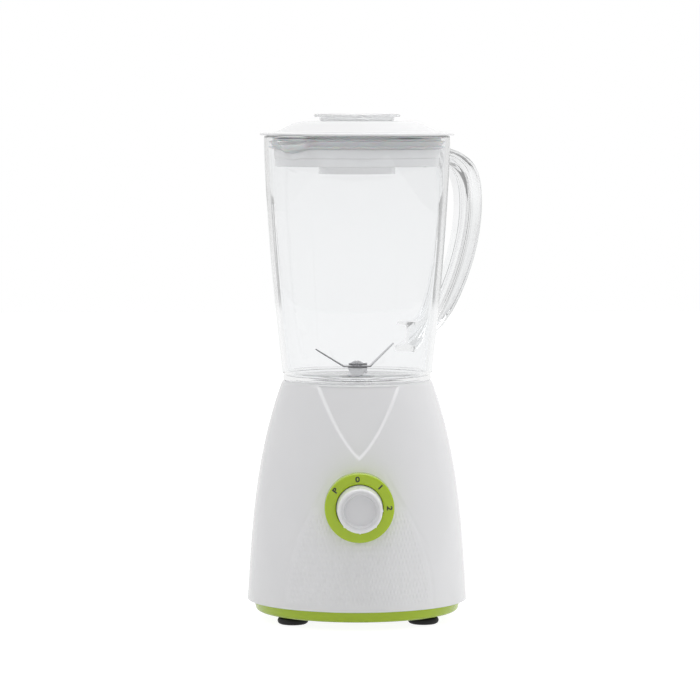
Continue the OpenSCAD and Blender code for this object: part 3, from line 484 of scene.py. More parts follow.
def block(name, low, high, finish=None):
    """A box between two corners."""
    corners = [(x, y, z) for x in (low[0], high[0]) for y in (low[1], high[1])
               for z in (low[2], high[2])]
    faces = [(0, 1, 3, 2), (4, 6, 7, 5), (0, 4, 5, 1), (2, 3, 7, 6), (0, 2, 6, 4), (1, 5, 7, 3)]
    return piece_from(name, corners, faces, finish)


green_abs = moulded("green_abs", (0.41, 0.565, 0.01), (0.385, 0.535, 0.008), 0.2, 0.2)
cover_outline = rounded([
    (0, cover_z, 0), (cover_r - 0.0034, cover_z, 0.0008),
    (cover_r - 0.0016, cover_z + 0.0012, 0.001), (cover_r, housing_z, 0.002),
    (cover_r, cover_high.z, 0.0003), (cover_r - 0.0025, cover_high.z, 0.0003),
    (cover_r - 0.004, cover_top_z, 0.001), (0, cover_top_z, 0)])
bottom_cover = lathe("bottom_cover_tray", cover_outline, green_abs, 180)
vents = block("vent_slots", (-0.0165, -0.0015, below_cover), (0.0015, 0.0015, above_cover))
repeated(vents, ring_copies, green_abs, Count=24, Radius=0.0345)
combine(bottom_cover, vents, "DIFFERENCE")
foot_holes = rod("foot_holes", foot_hole_r, below_cover, above_cover, 32)
repeated(foot_holes, corner_copies, green_abs, Width=2 * foot_x, Depth=2 * foot_y)
combine(bottom_cover, foot_holes, "DIFFERENCE")
screw_seat = [(0, below_cover), (screw_seat_r, below_cover), (screw_seat_r, screw_seat_z),
              (screw_hole_r, screw_seat_z), (screw_hole_r, above_cover), (0, above_cover)]
screw_seats = lathe("screw_seats", screw_seat, green_abs, 32)
repeated(screw_seats, corner_copies, green_abs, Width=2 * screw_x, Depth=2 * screw_y)
combine(bottom_cover, screw_seats, "DIFFERENCE")
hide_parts("bottom_cover")
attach(bottom_cover, "base")


# -------- suction feet
# Four feet of soft black rubber, moulded with a hollow sole that grips the worktop.
# Each has a barbed stem that is pulled through a hole in the cover.
black_rubber = Finish("black_rubber", IOR=1.4)
black_rubber.colour(black_rubber.noise(0.004), (0.006, 0.006, 0.006), (0.011, 0.011, 0.011))
black_rubber.rough(0.5, 0.15, 0.002)
black_rubber.bump(black_rubber.noise(0.0005), 0.00006)

foot_r = 0.012
stem_r = 0.0037
foot_outline = rounded([
    (0, 0.002, 0), (foot_r - 0.006, 0.0014, 0.001), (foot_r - 0.0045, 0, 0.0006),
    (foot_r - 0.0026, 0, 0.0012), (foot_r - 0.0007, 0.001, 0.0014), (foot_r, 0.003, 0.0012),
    (foot_r - 0.0008, cover_z - 0.0012, 0.001), (foot_r - 0.0025, cover_z - 0.0001, 0.0008),
    (stem_r, cover_z - 0.0001, 0), (stem_r, cover_top_z + 0.0002, 0),
    (stem_r + 0.0013, cover_top_z + 0.0006, 0.0003), (stem_r + 0.0003, cover_top_z + 0.003, 0.0005),
    (0, cover_top_z + 0.0034, 0)])
feet = lathe("suction_feet", foot_outline, black_rubber, 72)
repeated(feet, corner_copies, black_rubber, Width=2 * foot_x, Depth=2 * foot_y)
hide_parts("foot_front_left", "foot_front_right", "foot_rear_left", "foot_rear_right")
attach(feet, "base")


# -------- cover screws
# Four zinc-plated steel screws with a pan head and a cross recess. They go up through the
# cover into bosses moulded on the shell.
def metal(name, colour, shade, roughness, streak, grain=0.00002):
    """Bare metal with machining streaks drawn out along one axis."""
    finish = Finish(name, Metallic=1.0, IOR=2.5)
    scratches = finish.noise(0.0012, 4.0, streak)
    finish.colour(scratches, colour, shade)
    finish.set("Roughness", roughness + 0.16 * scratches)
    finish.bump(scratches, grain)
    return finish


zinc_steel = metal("zinc_steel", (0.60, 0.60, 0.61), (0.48, 0.48, 0.50), 0.22, (1, 1, 0.2))
screw_low, screw_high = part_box("cover_screws")
head_z = screw_low.z
head_r = 0.0032
shank_r = 0.0015
screw_outline = rounded([
    (0, head_z, 0), (head_r - 0.0006, head_z, 0.0006), (head_r, head_z + 0.0006, 0.0004),
    (head_r, head_z + 0.0014, 0.0001), (shank_r, head_z + 0.0014, 0.0001),
    (shank_r, screw_high.z - 0.001, 0), (0, screw_high.z, 0)])
screws = lathe("cover_screw_set", screw_outline, zinc_steel, 40)
for half_x, half_y in ((0.0017, 0.0003), (0.0003, 0.0017)):
    recess = block("recess", (-half_x, -half_y, head_z - 0.001), (half_x, half_y, head_z + 0.0009))
    combine(screws, recess, "DIFFERENCE")
repeated(screws, corner_copies, zinc_steel, Width=2 * screw_x, Depth=2 * screw_y)
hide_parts("cover_screws")
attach(screws, "base")


# -------- cord gland
# The bush of black rubber through which the mains cord enters at the back. It is moulded with
# a groove, and snapped into a round hole in the shell's wall.
gland_r = 0.0081
gland_in_r = 0.0035
gland_neck_r = 0.0059
gland_outline = rounded([
    (gland_in_r, gland_low.y, 0.0005), (gland_r, gland_low.y + 0.0006, 0.0004),
    (gland_r, gland_low.y + 0.0026, 0.0003), (gland_neck_r, gland_low.y + 0.0028, 0.0002),
    (gland_neck_r, gland_high.y - 0.0021, 0.0001), (0.0085, gland_high.y - 0.0021, 0.0003),
    (0.0085, gland_high.y - 0.001, 0.0005), (0.0073, gland_high.y, 0.0005),
    (gland_in_r, gland_high.y, 0.0006)])
gland = lathe("cord_gland_bush", gland_outline, black_rubber, 72)
facing_back(gland)
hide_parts("cord_gland")
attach(gland, "base")


# -------- motor
# A universal motor hangs from the well on four rubber mounts: stamped laminations, enamelled
# copper windings, die-cast aluminium brackets, ball bearings, carbon brushes and a plastic fan.
turned_steel = metal("turned_steel", (0.58, 0.58, 0.60), (0.46, 0.46, 0.49), 0.2, (1, 1, 8))
brass = metal("stamped_brass", (0.62, 0.44, 0.16), (0.5, 0.34, 0.11), 0.24, (1, 5, 1))
commutator_copper = metal(
    "commutator_copper", (0.62, 0.28, 0.14), (0.45, 0.19, 0.09), 0.2, (1, 1, 9))
cast_aluminium = metal(
    "cast_aluminium", (0.55, 0.56, 0.57), (0.43, 0.44, 0.45), 0.42, (1, 1, 1), 0.00008)

laminations = Finish("laminations", Metallic=0.75, IOR=1.6)
sheet_pitch = 0.001
sheets = laminations.axes(laminations.place)[2] * (2 * pi / sheet_pitch)
edges = laminations.node("ShaderNodeMath", {"operation": "SINE"}, {0: sheets})
laminations.colour(edges, (0.11, 0.115, 0.13), (0.2, 0.2, 0.215))
laminations.rough(0.38, 0.2, 0.003)
laminations.bump(edges, 0.00006)

copper = Finish("enamelled_copper", Metallic=0.85, IOR=1.6, Coat_Weight=0.6, Coat_Roughness=0.12)
turns = copper.node("ShaderNodeTexWave", {"wave_type": "RINGS", "rings_direction": "Z"},
                    {"Vector": copper.place, "Scale": 380.0, "Distortion": 1.2, "Detail": 1.0})
copper.colour(turns, (0.26, 0.085, 0.03), (0.58, 0.235, 0.10))
copper.rough(0.3, 0.15, 0.002)
copper.bump(turns, 0.00025)

carbon = Finish("pressed_carbon", IOR=1.8)
carbon.colour(carbon.noise(0.0004), (0.018, 0.018, 0.019), (0.05, 0.05, 0.052))
carbon.rough(0.5, 0.2, 0.001)
carbon.bump(carbon.noise(0.0003), 0.00005)

dark_nylon = Finish("dark_nylon", IOR=1.53)
dark_nylon.colour(dark_nylon.noise(0.006), (0.035, 0.037, 0.041), (0.055, 0.057, 0.062))
dark_nylon.rough(0.46, 0.16, 0.0015)
dark_nylon.bump(dark_nylon.noise(0.0004), 0.00005)

paint(turned_steel, "upper_bearing", "lower_bearing", "brush_springs", "motor_bolts",
      "mount_screws", "motor_shaft", "switch_nut", "switch_spindle")
paint(laminations, "stator_core", "armature_core")
paint(copper, "field_coils", "armature_windings")
paint(commutator_copper, "commutator")
paint(cast_aluminium, "upper_bracket", "lower_bracket")
paint(brass, "brush_holders")
paint(carbon, "carbon_brushes")
paint(dark_nylon, "cooling_fan", "rotary_switch", "interlock_switch")
paint(black_rubber, "motor_mounts", "shaft_seal", "drive_coupling")


# -------- dial ring
# The green ABS ring round the knob is pressed into the front through a round hole. Its back
# follows the housing, and its face carries the speed settings in black pad print.
dial_r = dial_high.x
dial_face = -dial_low.y
dial_round = 0.0011
ring_in_r = 0.018
ring_outline = [
    (ring_in_r, dial_face - 0.0006), (0.0181, dial_face - 0.0002),
    *((r, dial_face) for r in (0.0184, 0.0195, 0.0215, 0.0235)),
    *arc(dial_r - dial_round, dial_face - dial_round, dial_round, pi / 2, 0, 7),
    (dial_r, dial_face - 0.0025), (dial_r, dial_face - 0.004),
    (dial_r, 0.078), (0.0221, 0.078), (0.022, 0.0745), (0.022, 0.0661), (0.02, 0.066),
    (0.02, 0.0771), (0.0048, 0.0771), (0.0048, 0.0789), (ring_in_r, 0.0789)]
seat_rows = slice(-9, -7)


def seat_ring(radius, depth, turn):
    """Lays the ring's back on the housing's surface."""
    x = radius[seat_rows] * np.cos(turn)
    z = dial_z + radius[seat_rows] * np.sin(turn)
    depth[seat_rows] = np.sqrt(flare(z) ** 2 - x**2) - sunk(x, z) + 0.0001
    return radius, depth


dial_ring = lathe("dial_ring_face", ring_outline, green_abs, 160, seat_ring, 45)
facing_front(dial_ring)
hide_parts("dial_ring")
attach(dial_ring, "base")

black_print = Finish("black_print", IOR=1.5)
black_print.colour(black_print.noise(0.0006), (0.012, 0.014, 0.01), (0.03, 0.035, 0.02))
black_print.rough(0.4, 0.1, 0.001)
mark_places = (("P", 143.5, 0.0226), ("0", 94, 0.0218), ("1", 45.7, 0.0222), ("2", 0.4, 0.0224))
for sign, direction, mark_r in mark_places:
    letter = bpy.data.curves.new("mark", "FONT")
    letter.body = sign
    letter.size = 0.0056
    letter.extrude = 0.00002
    letter.offset = 0.0002
    letter.align_x = letter.align_y = "CENTER"
    holder = placed("mark", letter)
    mesh = plain_mesh(holder)
    bpy.data.objects.remove(holder)
    angle = radians(direction)
    place = Matrix.Translation((mark_r * cos(angle), mark_r * sin(angle), dial_face + 0.00003))
    upright = Matrix.Rotation(angle - pi / 2, 4, "Z")
    mesh.transform(place @ upright @ Matrix.Diagonal((1.2, 1, 1, 1)))
    mesh.materials.clear()
    mesh.materials.append(black_print.material)
    mark = placed("mark_" + sign, mesh)
    facing_front(mark)
    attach(mark, "base")


# -------- speed knob
# A white ABS knob, pushed on the flattened spindle of the rotary switch. A disc lies deep
# inside its rim, painted darker as shade with the rim painted lighter as a highlight, and
# eight small grips run up its side.
knob_low, knob_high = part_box("speed_knob")
knob_front = -knob_low.y
knob_back = -knob_high.y
knob_back_r = 0.0175
knob_r = 0.0168
knob_round = 0.0019
knob_web = knob_front - 0.005
rim_start = knob_front - knob_round
disc_r = 0.0114
disc_face = knob_front - 0.0033
socket_r = 0.003
socket_end = knob_front - 0.0062
grip_r = 0.0009
painted_shade_end_r = 0.0142
painted_highlight_start_r = 0.0152
knob_outline = [
    (knob_back_r - 0.002, knob_back), (knob_back_r - 0.0002, knob_back),
    (knob_back_r, knob_back + 0.0002), (knob_r + 0.0001, rim_start - 0.004), (knob_r, rim_start),
    *arc(knob_r - knob_round, rim_start, knob_round, pi / 2 - 1.35, pi / 2, 8),
    *((r, knob_front - d) for r, d in (
        (0.0157, 0.0001), (0.015, 0), (0.0145, 0.0001), (0.0139, 0.0005), (0.0135, 0.0006),
        (0.0131, 0.0004), (0.0126, 0.0004), (0.0122, 0.0008), (0.0119, 0.0017), (0.0117, 0.0028),
        (disc_r, 0.0032))),
    (disc_r - 0.0008, disc_face), (0.006, disc_face), (0, disc_face), (0, socket_end),
    (socket_r, socket_end), (socket_r, knob_back + 0.0015), (0.0055, knob_back + 0.0015),
    (0.0055, knob_web), (knob_r - 0.002, knob_web)]
satin_abs = Finish("satin_white_abs", IOR=1.5, Coat_Weight=0.1, Coat_Roughness=0.05)
# Painted light: the deep disc is painted darker as shade, the rim lighter as a highlight.
aside, _, above = satin_abs.axes(satin_abs.place)
above = above - dial_z
painted_rim_highlight = (aside * aside + above * above).ramp(painted_shade_end_r**2, painted_highlight_start_r**2)
painted_light_and_tone = 0.9 * painted_rim_highlight + 0.1 * satin_abs.noise(0.03, 2.0)
satin_abs.colour(painted_light_and_tone, (0.715, 0.715, 0.73), (0.86, 0.86, 0.87))
moulded_skin(satin_abs, 0.26)
knob = lathe("knob_cap", knob_outline, satin_abs, 160, sharp=40)
grip_outline = [(0, knob_back), (grip_r, knob_back), (grip_r, rim_start - 0.0005),
                *arc(0, rim_start, grip_r, 0, pi / 2, 5)]
grips = lathe("grips", grip_outline, satin_abs, 20)
repeated(grips, ring_copies, satin_abs, Count=8, Radius=knob_r - 0.00035)
combine(knob, grips, "UNION")
facing_front(knob)
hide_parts("speed_knob")
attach(knob, "knob")


# -------- jar
# The 1.5 litre jar is one moulding of clear plastic: a flared wall with four inner ribs and
# a pouring spout, a floor on a skirt with four lugs that drops into the well, and a curved
# bar handle with an I section.
jar_low, jar_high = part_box("jar")
skirt_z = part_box("jar_skirt")[0].z
jar_rim_z = jar_high.z
jar_z = rim_z + 0.0003
jar_floor_z = jar_z + 0.0007
jar_under_z = jar_low.z
wall_low_z = jar_z + 0.0053
jar_rim_r = 0.0718
jar_low_r = 0.0581
jar_foot_r = 0.0572
jar_wall = 0.003
corner_r = 0.008
corner_z = jar_floor_z + corner_r
corner_rows = 12
holder_hole_r = 0.0069
skirt_r = 0.0495
skirt_in_r = skirt_r - 0.0026
lug_half = 0.004
lug_h = 0.012
rib_h = 0.145
rib_top_z = jar_floor_z + rib_h
rib_rise = 0.0043
rib_draft = 0.0012
rib_half = 0.0048
rib_angle = 2
handle_angle = 45.5
rib_dir = radians(rib_angle)
handle_dir = radians(handle_angle)
handle_reach = 0.1385
root_z = jar_z + 0.048
spout_h = 0.019
spout_lip = 0.004
spout_tip = 0.004
spout_wall = 0.0025
spout_blend = 0.0025
spout_centre_r = 0.0568
spout_lean = 0.0078
spout_mouth_r = 0.022
spout_taper = 0.018


def jar_r(z):
    """Radius of the jar's outer wall at a height."""
    drop = np.clip((jar_rim_z - z) / (jar_rim_z - wall_low_z), 0, 1)
    return jar_rim_r - (jar_rim_r - jar_low_r) * drop**1.5


def blend_out(a, b, soft):
    """The larger of two radii, with the corner between them rounded."""
    near = np.clip(soft - np.abs(a - b), 0, None) / soft
    return np.maximum(a, b) + near * near * soft / 4


def spout_r(z, turn, wall):
    """Radius round the jar's axis of the spout: an upright lip, and a cone that shrinks below."""
    fall = np.clip((jar_rim_z - spout_lip - z) / spout_h, 0, 1)
    centre = spout_centre_r + spout_lean * fall
    past = np.clip(jar_rim_z - spout_h - z, 0, spout_tip)
    cone = spout_mouth_r - wall - spout_taper * fall**0.92
    radius = np.sqrt(cone**2 - (past * (1 - wall / spout_tip)) ** 2)
    off = turn - handle_dir - pi
    root = radius**2 - (centre * np.sin(off)) ** 2
    reach = centre * np.cos(off) + np.sqrt(np.clip(root, 0, None))
    return np.where((root > 0) & (np.cos(off) > 0), reach, 0)


def rib_r(z, turn):
    """Radius of the inner face with its ribs: two deep ones at the sides, two almost flat."""
    share = (z - jar_floor_z) / rib_h
    off = (turn - rib_dir + pi / 4) % (pi / 2) - pi / 4
    rise = (rib_rise - rib_draft * share) * step(rib_top_z + 0.0036 - z, 0.016)
    rise = rise * (0.03 + 0.97 * np.cos(turn - rib_dir) ** 4)
    return jar_r(z) - jar_wall - rise * step(rib_half - np.abs(off) * jar_r(z), 0.0018)


spout_low_z = jar_rim_z - 0.025
wall_rows = np.concatenate([
    np.linspace(wall_low_z, spout_low_z, 46),
    np.linspace(jar_rim_z - 0.024, jar_rim_z - 0.0012, 26)])
inner_rows = np.concatenate([
    np.linspace(jar_rim_z - 0.0012, jar_rim_z - 0.024, 26),
    np.linspace(spout_low_z, rib_top_z + 0.005, 8),
    np.linspace(rib_top_z + 0.0045, rib_top_z - 0.0125, 14),
    np.linspace(rib_top_z - 0.0145, corner_z, 40)])
jar_outline = [
    (skirt_in_r, skirt_z + 0.0004), (skirt_r - 0.0022, skirt_z), (skirt_r - 0.0004, skirt_z),
    (skirt_r, skirt_z + 0.0004), (skirt_r, skirt_z + 0.014), (skirt_r, jar_z - 0.0006),
    (skirt_r + 0.0004, jar_z), (0.056, jar_z), (0.0566, jar_z + 0.0001),
    *arc(jar_foot_r - 0.0006, jar_z + 0.0007, 0.0006, 0.4 - pi / 2, 0, 4),
    (jar_foot_r, jar_z + 0.0022), (0.057, jar_z + 0.0029), (0.0566, jar_z + 0.0035),
    (0.05665, jar_z + 0.004), (0.0573, jar_z + 0.0046)]
outer_start = len(jar_outline)
jar_outline += [(jar_r(z), z) for z in wall_rows]
outer_end = len(jar_outline)
lip = np.linspace(0, pi, 8)[1:-1]
jar_outline += [(jar_rim_r - 0.0015 + 0.0015 * cos(a), jar_rim_z - 0.0012 + 0.0012 * sin(a))
                for a in lip]
inner_start = len(jar_outline)
jar_outline += [(jar_r(z) - jar_wall, z) for z in inner_rows]
inner_end = len(jar_outline)
corner_x = jar_r(corner_z) - jar_wall - corner_r
jar_outline += [
    *arc(corner_x, corner_z, corner_r, -0.1, -pi / 2, corner_rows),
    *((r, jar_floor_z) for r in (0.04, 0.03, 0.02, holder_hole_r)),
    *((r, jar_under_z) for r in (holder_hole_r, 0.02, 0.03, skirt_r - 0.0046)),
    (skirt_r - 0.0031, jar_under_z - 0.0006), (skirt_in_r, jar_under_z - 0.002),
    (skirt_in_r, skirt_z + 0.014)]


def mould_jar(radius, height, turn):
    """Adds the spout to both faces of the wall, and the ribs to the inner one."""
    rows = np.arange(len(radius))[:, None]
    lip_rows = (rows >= outer_end) & (rows < inner_start)
    share = np.where(rows < outer_end, 0.0, 1.0)
    share = np.where(lip_rows, (rows - outer_end + 1) / (len(lip) + 1), share)
    plain = jar_r(height) - share * jar_wall
    spout = blend_out(plain, spout_r(height, turn, spout_wall * share), spout_blend)
    wall = (rows >= outer_start) & (rows < inner_end)
    radius = radius + np.where(wall, spout - plain, 0)
    inner = (rows >= inner_start) & (rows < inner_end + corner_rows)
    return np.where(inner, np.minimum(radius, rib_r(height, turn)), radius), height


# Angles in degrees, closer together at the four ribs and across the spout
jar_turns = [np.arange(0, 360, 3.0)]
jar_turns += [np.arange(-6, 6.1, 0.4) + rib_angle + 90 * i for i in range(4)]
jar_turns += [np.arange(-24, 24.1, 0.8) + handle_angle + 180]
jar_turns = np.unique(np.round(np.concatenate(jar_turns) % 360, 2))
jar_turns = jar_turns[np.concatenate([[True], np.diff(jar_turns) > 0.25])]
clear_plastic = Finish("clear_plastic", IOR=1.49, Transmission_Weight=1.0)
clear_plastic.colour(clear_plastic.noise(0.05, 1.0), (0.955, 0.962, 0.967), (0.965, 0.97, 0.974))
clear_plastic.rough(0.012, 0.02, 0.02)
clear_plastic.bump(clear_plastic.noise(0.02, 1.0), 0.00003)


def let_light_through(finish, share):
    """Lets a share of lamp light through, and paints a glow where rays are caught in the plastic.
    """
    caught = finish.ray("Glossy Depth").ramp(2.4, 2.6)
    dim = finish.node("ShaderNodeEmission", {}, {"Strength": 0.3})
    bright = finish.node("ShaderNodeEmission", {}, {"Strength": 0.9})
    # The painted glow is brighter low on the jar, for light piped up into it from the white base.
    low = 1 - finish.axes(finish.place)[2].ramp(root_z + 0.002, root_z + 0.016)
    glow = finish.node("ShaderNodeMixShader", {}, {0: low, 1: dim, 2: bright})
    lit = finish.node("ShaderNodeMixShader", {}, {0: caught, 1: finish.plain(), 2: glow})
    open_air = finish.node("ShaderNodeBsdfTransparent", {}, {})
    gate = finish.ray("Is Shadow Ray") * share
    finish.surface(finish.node("ShaderNodeMixShader", {}, {0: gate, 1: lit, 2: open_air}))


let_light_through(clear_plastic, 0.92)
jar = lathe("jar_body", jar_outline, clear_plastic, np.radians(jar_turns), mould_jar, 40)


def bezier(p0, p1, p2, p3, steps=16):
    t = np.linspace(0, 1, steps + 1)[:, None]
    p0, p1, p2, p3 = map(np.array, (p0, p1, p2, p3))
    return p0 * (1 - t) ** 3 + 3 * p1 * t * (1 - t) ** 2 + 3 * p2 * t**2 * (1 - t) + p3 * t**3


def curve_on(start, *curves):
    """A chain of curves, each given by its two guide points and its end."""
    chain = [[start]]
    for guide, second_guide, end in curves:
        chain.append(bezier(start, guide, second_guide, end)[1:])
        start = end
    return np.concatenate(chain)


palm_r = handle_reach
finger_r = handle_reach - 0.017
handle_start_r = 0.06
handle_end_r = 0.053
top_z = jar_rim_z - 0.0078
grip_z = jar_z + 0.1327
palm_line = curve_on(
    (handle_start_r, top_z),
    ((palm_r - 0.009, top_z), (palm_r, grip_z + 0.028), (palm_r, grip_z)),
    ((palm_r, grip_z - 0.032), (palm_r - 0.02, root_z + 0.014), (palm_r - 0.042, root_z - 0.007)),
    ((palm_r - 0.052, root_z - 0.016), (palm_r - 0.064, root_z - 0.025),
     (handle_end_r, root_z - 0.032)))
finger_line = curve_on(
    (handle_start_r, top_z - 0.021),
    ((finger_r - 0.032, top_z - 0.009), (finger_r, top_z - 0.0095), (finger_r, grip_z)),
    ((finger_r, grip_z - 0.028), (finger_r - 0.018, root_z + 0.019), (finger_r - 0.035, root_z)),
    ((finger_r - 0.042, root_z - 0.007), (finger_r - 0.05, root_z - 0.006),
     (handle_end_r, root_z - 0.007)))


def bar_faces(count, ring):
    """The faces between rings of points, one ring after another, and the two end faces."""
    faces = [[i + j, i + (j + 1) % ring, i + ring + (j + 1) % ring, i + ring + j]
             for i in range(0, count - ring, ring) for j in range(ring)]
    return faces + [list(range(ring)), list(range(count - ring, count))]


def handle_section(half, thick, thin):
    """An I section of (side, depth): a flat finger flange, a web, and a rounded palm flange."""
    web = 0.0018 - 0.0008 * thin
    round_r = 0.002 - 0.0013 * thin
    palm_round = 0.0038
    side = [
        *arc(half - round_r, round_r, round_r, -pi / 2, 0, 6),
        (half - 0.0002, 0.0027 - 0.0016 * thin), (half - 0.001, 0.0032 - 0.0018 * thin),
        (web + 0.0022, 0.0037 - 0.0018 * thin), (web + 0.0007, 0.0045 - 0.0016 * thin),
        (web, 0.0062), (web, thick - 0.0072), (web + 0.0007, thick - 0.0055),
        (web + 0.0022, thick - 0.0047), (half - 0.001, thick - 0.0044),
        (half - 0.0002, thick - 0.004)]
    side += [(half - palm_round + palm_round * cos(a), thick - 0.0036 + 0.0036 * sin(a))
             for a in np.linspace(0, pi / 2, 6)]
    return side + [(-x, y) for x, y in reversed(side)]


bar = []
for index, (palm, finger) in enumerate(zip(palm_line, finger_line)):
    end = abs(2 * index / (len(palm_line) - 1) - 1)
    half = 0.009 + 0.0045 * end**4
    thick = np.linalg.norm(palm - finger)
    for side, depth in handle_section(half, thick, end**4):
        point = finger + (palm - finger) * depth / thick
        bar.append((point[0], side, point[1]))
faces = bar_faces(len(bar), len(bar) // len(palm_line))
handle = piece_from("handle_bar", bar, faces, clear_plastic)
handle.data.transform(Matrix.Rotation(handle_dir, 4, "Z"))
core_top_z = jar_rim_z + 0.003
core = [(0, jar_z + 0.001), (0.054, jar_z + 0.001)]
core += [(jar_r(z) - 0.001, z) for z in np.linspace(wall_low_z, core_top_z, 40)]
core = lathe("jar_core", core + [(0, core_top_z)], clear_plastic, 240)
combine(handle, core, "DIFFERENCE")
combine(jar, handle, "UNION")
lug_high = (0.0022, lug_half, skirt_z + lug_h)
lugs = block("lugs", (-0.001, -lug_half, skirt_z), lug_high, clear_plastic)
repeated(lugs, ring_copies, clear_plastic, Count=4, Radius=skirt_r)
lugs.data.transform(Matrix.Rotation(pi / 4, 4, "Z"))
combine(jar, lugs, "UNION")
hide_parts("jar", "jar_skirt")
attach(jar, "jar")


# -------- blade unit
# Two bent stainless blades are clamped on a short shaft by a domed nut. The shaft runs in
# brass bushings in a steel holder, which a plastic nut holds in the jar's floor.
blade_steel = Finish("brushed_blade_steel", Metallic=1.0)
# Painted light: faces that look up are painted light and the rest dark, as the light falls.
facing = blade_steel.node("ShaderNodeNewGeometry", {}, {}, "Normal")
painted_top_light = blade_steel.axes(facing)[2].ramp(0.3, 0.6)
grain = blade_steel.noise(0.0006, 2.0, (1, 9, 1))
blade_steel.colour(painted_top_light - 0.15 * grain, (0.14, 0.14, 0.15), (0.64, 0.64, 0.66))
blade_steel.set("Roughness", 0.14 + 0.12 * grain)
blade_steel.bump(grain, 0.00002)
polished_steel = metal("polished_steel", (0.86, 0.86, 0.87), (0.78, 0.78, 0.80), 0.12, (1, 1, 9))
blade_flat = 0.01
blade_sheet = 0.0009
blade_hole_r = 0.0035
wing_length = 0.026


def bent_blade(name, left_bend, right_bend, turn):
    """A strip of sheet whose wings are bent up, or down, with one edge of each ground sharp."""
    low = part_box(name)[0]
    widths = np.array([(0, 7, 7), (15.6, 5, 4.1), (20.8, 3.9, 3.2), (26, 2.8, 0.3)]) / 1000
    stops, lead, trail = widths.T
    wing = np.linspace(0.0004, wing_length, 14)
    wing = np.concatenate([np.linspace(-wing_length, -0.0004, 14), [0], wing])
    verts = []
    for out in wing:
        way = 1 if out >= 0 else -1
        bend = radians(right_bend if way > 0 else left_bend)
        run = abs(out)
        start = 0 if out == 0 else blade_flat
        tilt = 0 if out == 0 else bend * (0.5 + 0.5 * step(run, 0.002))
        ground = np.interp(run, stops, lead)
        blunt = np.interp(run, stops, trail)
        sharpened = step(run - 0.001, 0.003)
        grind = 0.0001 + 0.0022 * sharpened
        edge = 0.98 - 0.8 * sharpened
        section = [(-ground, 0), (blunt, 0), (blunt, 0.98), (blunt - 0.0001, 1),
                   (grind - ground, 1), (-ground, edge)]
        if way < 0:
            section = [(-y, t) for y, t in (section[i] for i in (1, 0, 5, 4, 3, 2))]
        verts += [(way * (start + run * cos(bend) - sin(tilt) * t * blade_sheet), y,
                   low.z + run * sin(bend) + cos(tilt) * t * blade_sheet) for y, t in section]
    made = piece_from(name + "_sheet", verts, bar_faces(len(verts), 6), blade_steel, 20)
    made.data.transform(Matrix.Rotation(radians(turn), 4, "Z"))
    hole = rod("shaft_hole", blade_hole_r, low.z - 0.001, low.z + 0.002, 48)
    combine(made, hole, "DIFFERENCE")
    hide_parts(name)
    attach(made, "blades")


bent_blade("upper_blade", 31, 44.5, 0)
bent_blade("lower_blade", -11.5, -14.5, 90)
paint(blade_steel, "cap_nut")
paint(polished_steel, "blade_holder")
paint(turned_steel, "blade_shaft", "blade_washers")
paint(brass, "shaft_bushings")
paint(dark_nylon, "retaining_nut")
paint(black_rubber, "shaft_lip_seal", "driven_coupling")

silicone = Finish("silicone", IOR=1.41, Subsurface_Weight=0.3, Subsurface_Scale=0.002)
silicone.colour(silicone.noise(0.006), (0.74, 0.75, 0.76), (0.79, 0.80, 0.81))
silicone.rough(0.34, 0.1, 0.003)
silicone.bump(silicone.noise(0.001), 0.00003)
paint(silicone, "holder_gasket")


# -------- lid
# A glossy white lid, moulded in one piece: a thin brim, a low dome, a plug skirt inside the
# jar's rim and a tube that takes the measuring cap.
lid_low, lid_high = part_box("lid")
gasket_low, gasket_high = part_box("lid_gasket")
brim_r = lid_high.x
lid_top_z = lid_high.z
lid_under_z = lid_top_z - 0.0022
brim_z = lid_top_z - 0.011
dome_z = brim_z + 0.0035
tube_r = 0.0276
tube_out_r = tube_r + 0.002
tube_low_z = lid_low.z
plug_r = 0.064
plug_in_r = plug_r - 0.0022
plug_end_r = plug_r - 0.0007
plug_low_z = tube_low_z + 0.006
plug_step_z = plug_low_z + 0.006
groove_r = plug_r - 0.001
groove_z = gasket_low.z - 0.0001
groove_top_z = gasket_high.z + 0.0001
dome = bezier((0.0606, dome_z), (0.0536, dome_z + 0.0035), (0.0466, lid_top_z),
              (0.0396, lid_top_z), 20)
lid_outline = rounded([
    (brim_r - 0.0004, brim_z, 0.0003), (brim_r, brim_z + 0.0004, 0.0003),
    (brim_r, brim_z + 0.0014, 0.0005), (brim_r - 0.001, brim_z + 0.0019, 0.0006),
    (0.0616, brim_z + 0.0029, 0.001), *((x, z, 0) for x, z in dome),
    (tube_r + 0.0006, lid_top_z, 0.0003), (tube_r, lid_top_z - 0.0006, 0.0003),
    (tube_r, tube_low_z, 0.0003), (tube_out_r, tube_low_z, 0.0003),
    (tube_out_r, lid_under_z, 0.001), (0.0386, lid_under_z, 0.003),
    (0.0586, dome_z - 0.0018, 0.003), (plug_in_r, brim_z + 0.0006, 0.001),
    (plug_in_r, plug_low_z, 0.0004), (plug_end_r, plug_low_z, 0.0006),
    (plug_end_r, plug_step_z, 0.0002), (plug_r, plug_step_z + 0.0007, 0.0002),
    (plug_r, groove_z, 0.0002), (groove_r, groove_z, 0.0001), (groove_r, groove_top_z, 0.0001),
    (plug_r, groove_top_z, 0.0002), (plug_r, brim_z, 0.0005)])
lid_abs = moulded("lid_white_abs", (0.86, 0.86, 0.865), (0.84, 0.84, 0.85), 0.2, 0.2,
                  Emission_Strength=0.1)
# The end of the tube glows faintly, for the light that the clear jar throws back at it.
below_plug = 1 - lid_abs.axes(lid_abs.place)[2].ramp(plug_low_z - 0.0006, plug_low_z)
lid_abs.set("Emission Color", lid_abs.mix(below_plug, (0, 0, 0), (1, 1, 1)))
lid = lathe("lid_moulding", lid_outline, lid_abs, 200)
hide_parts("lid")
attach(lid, "lid")


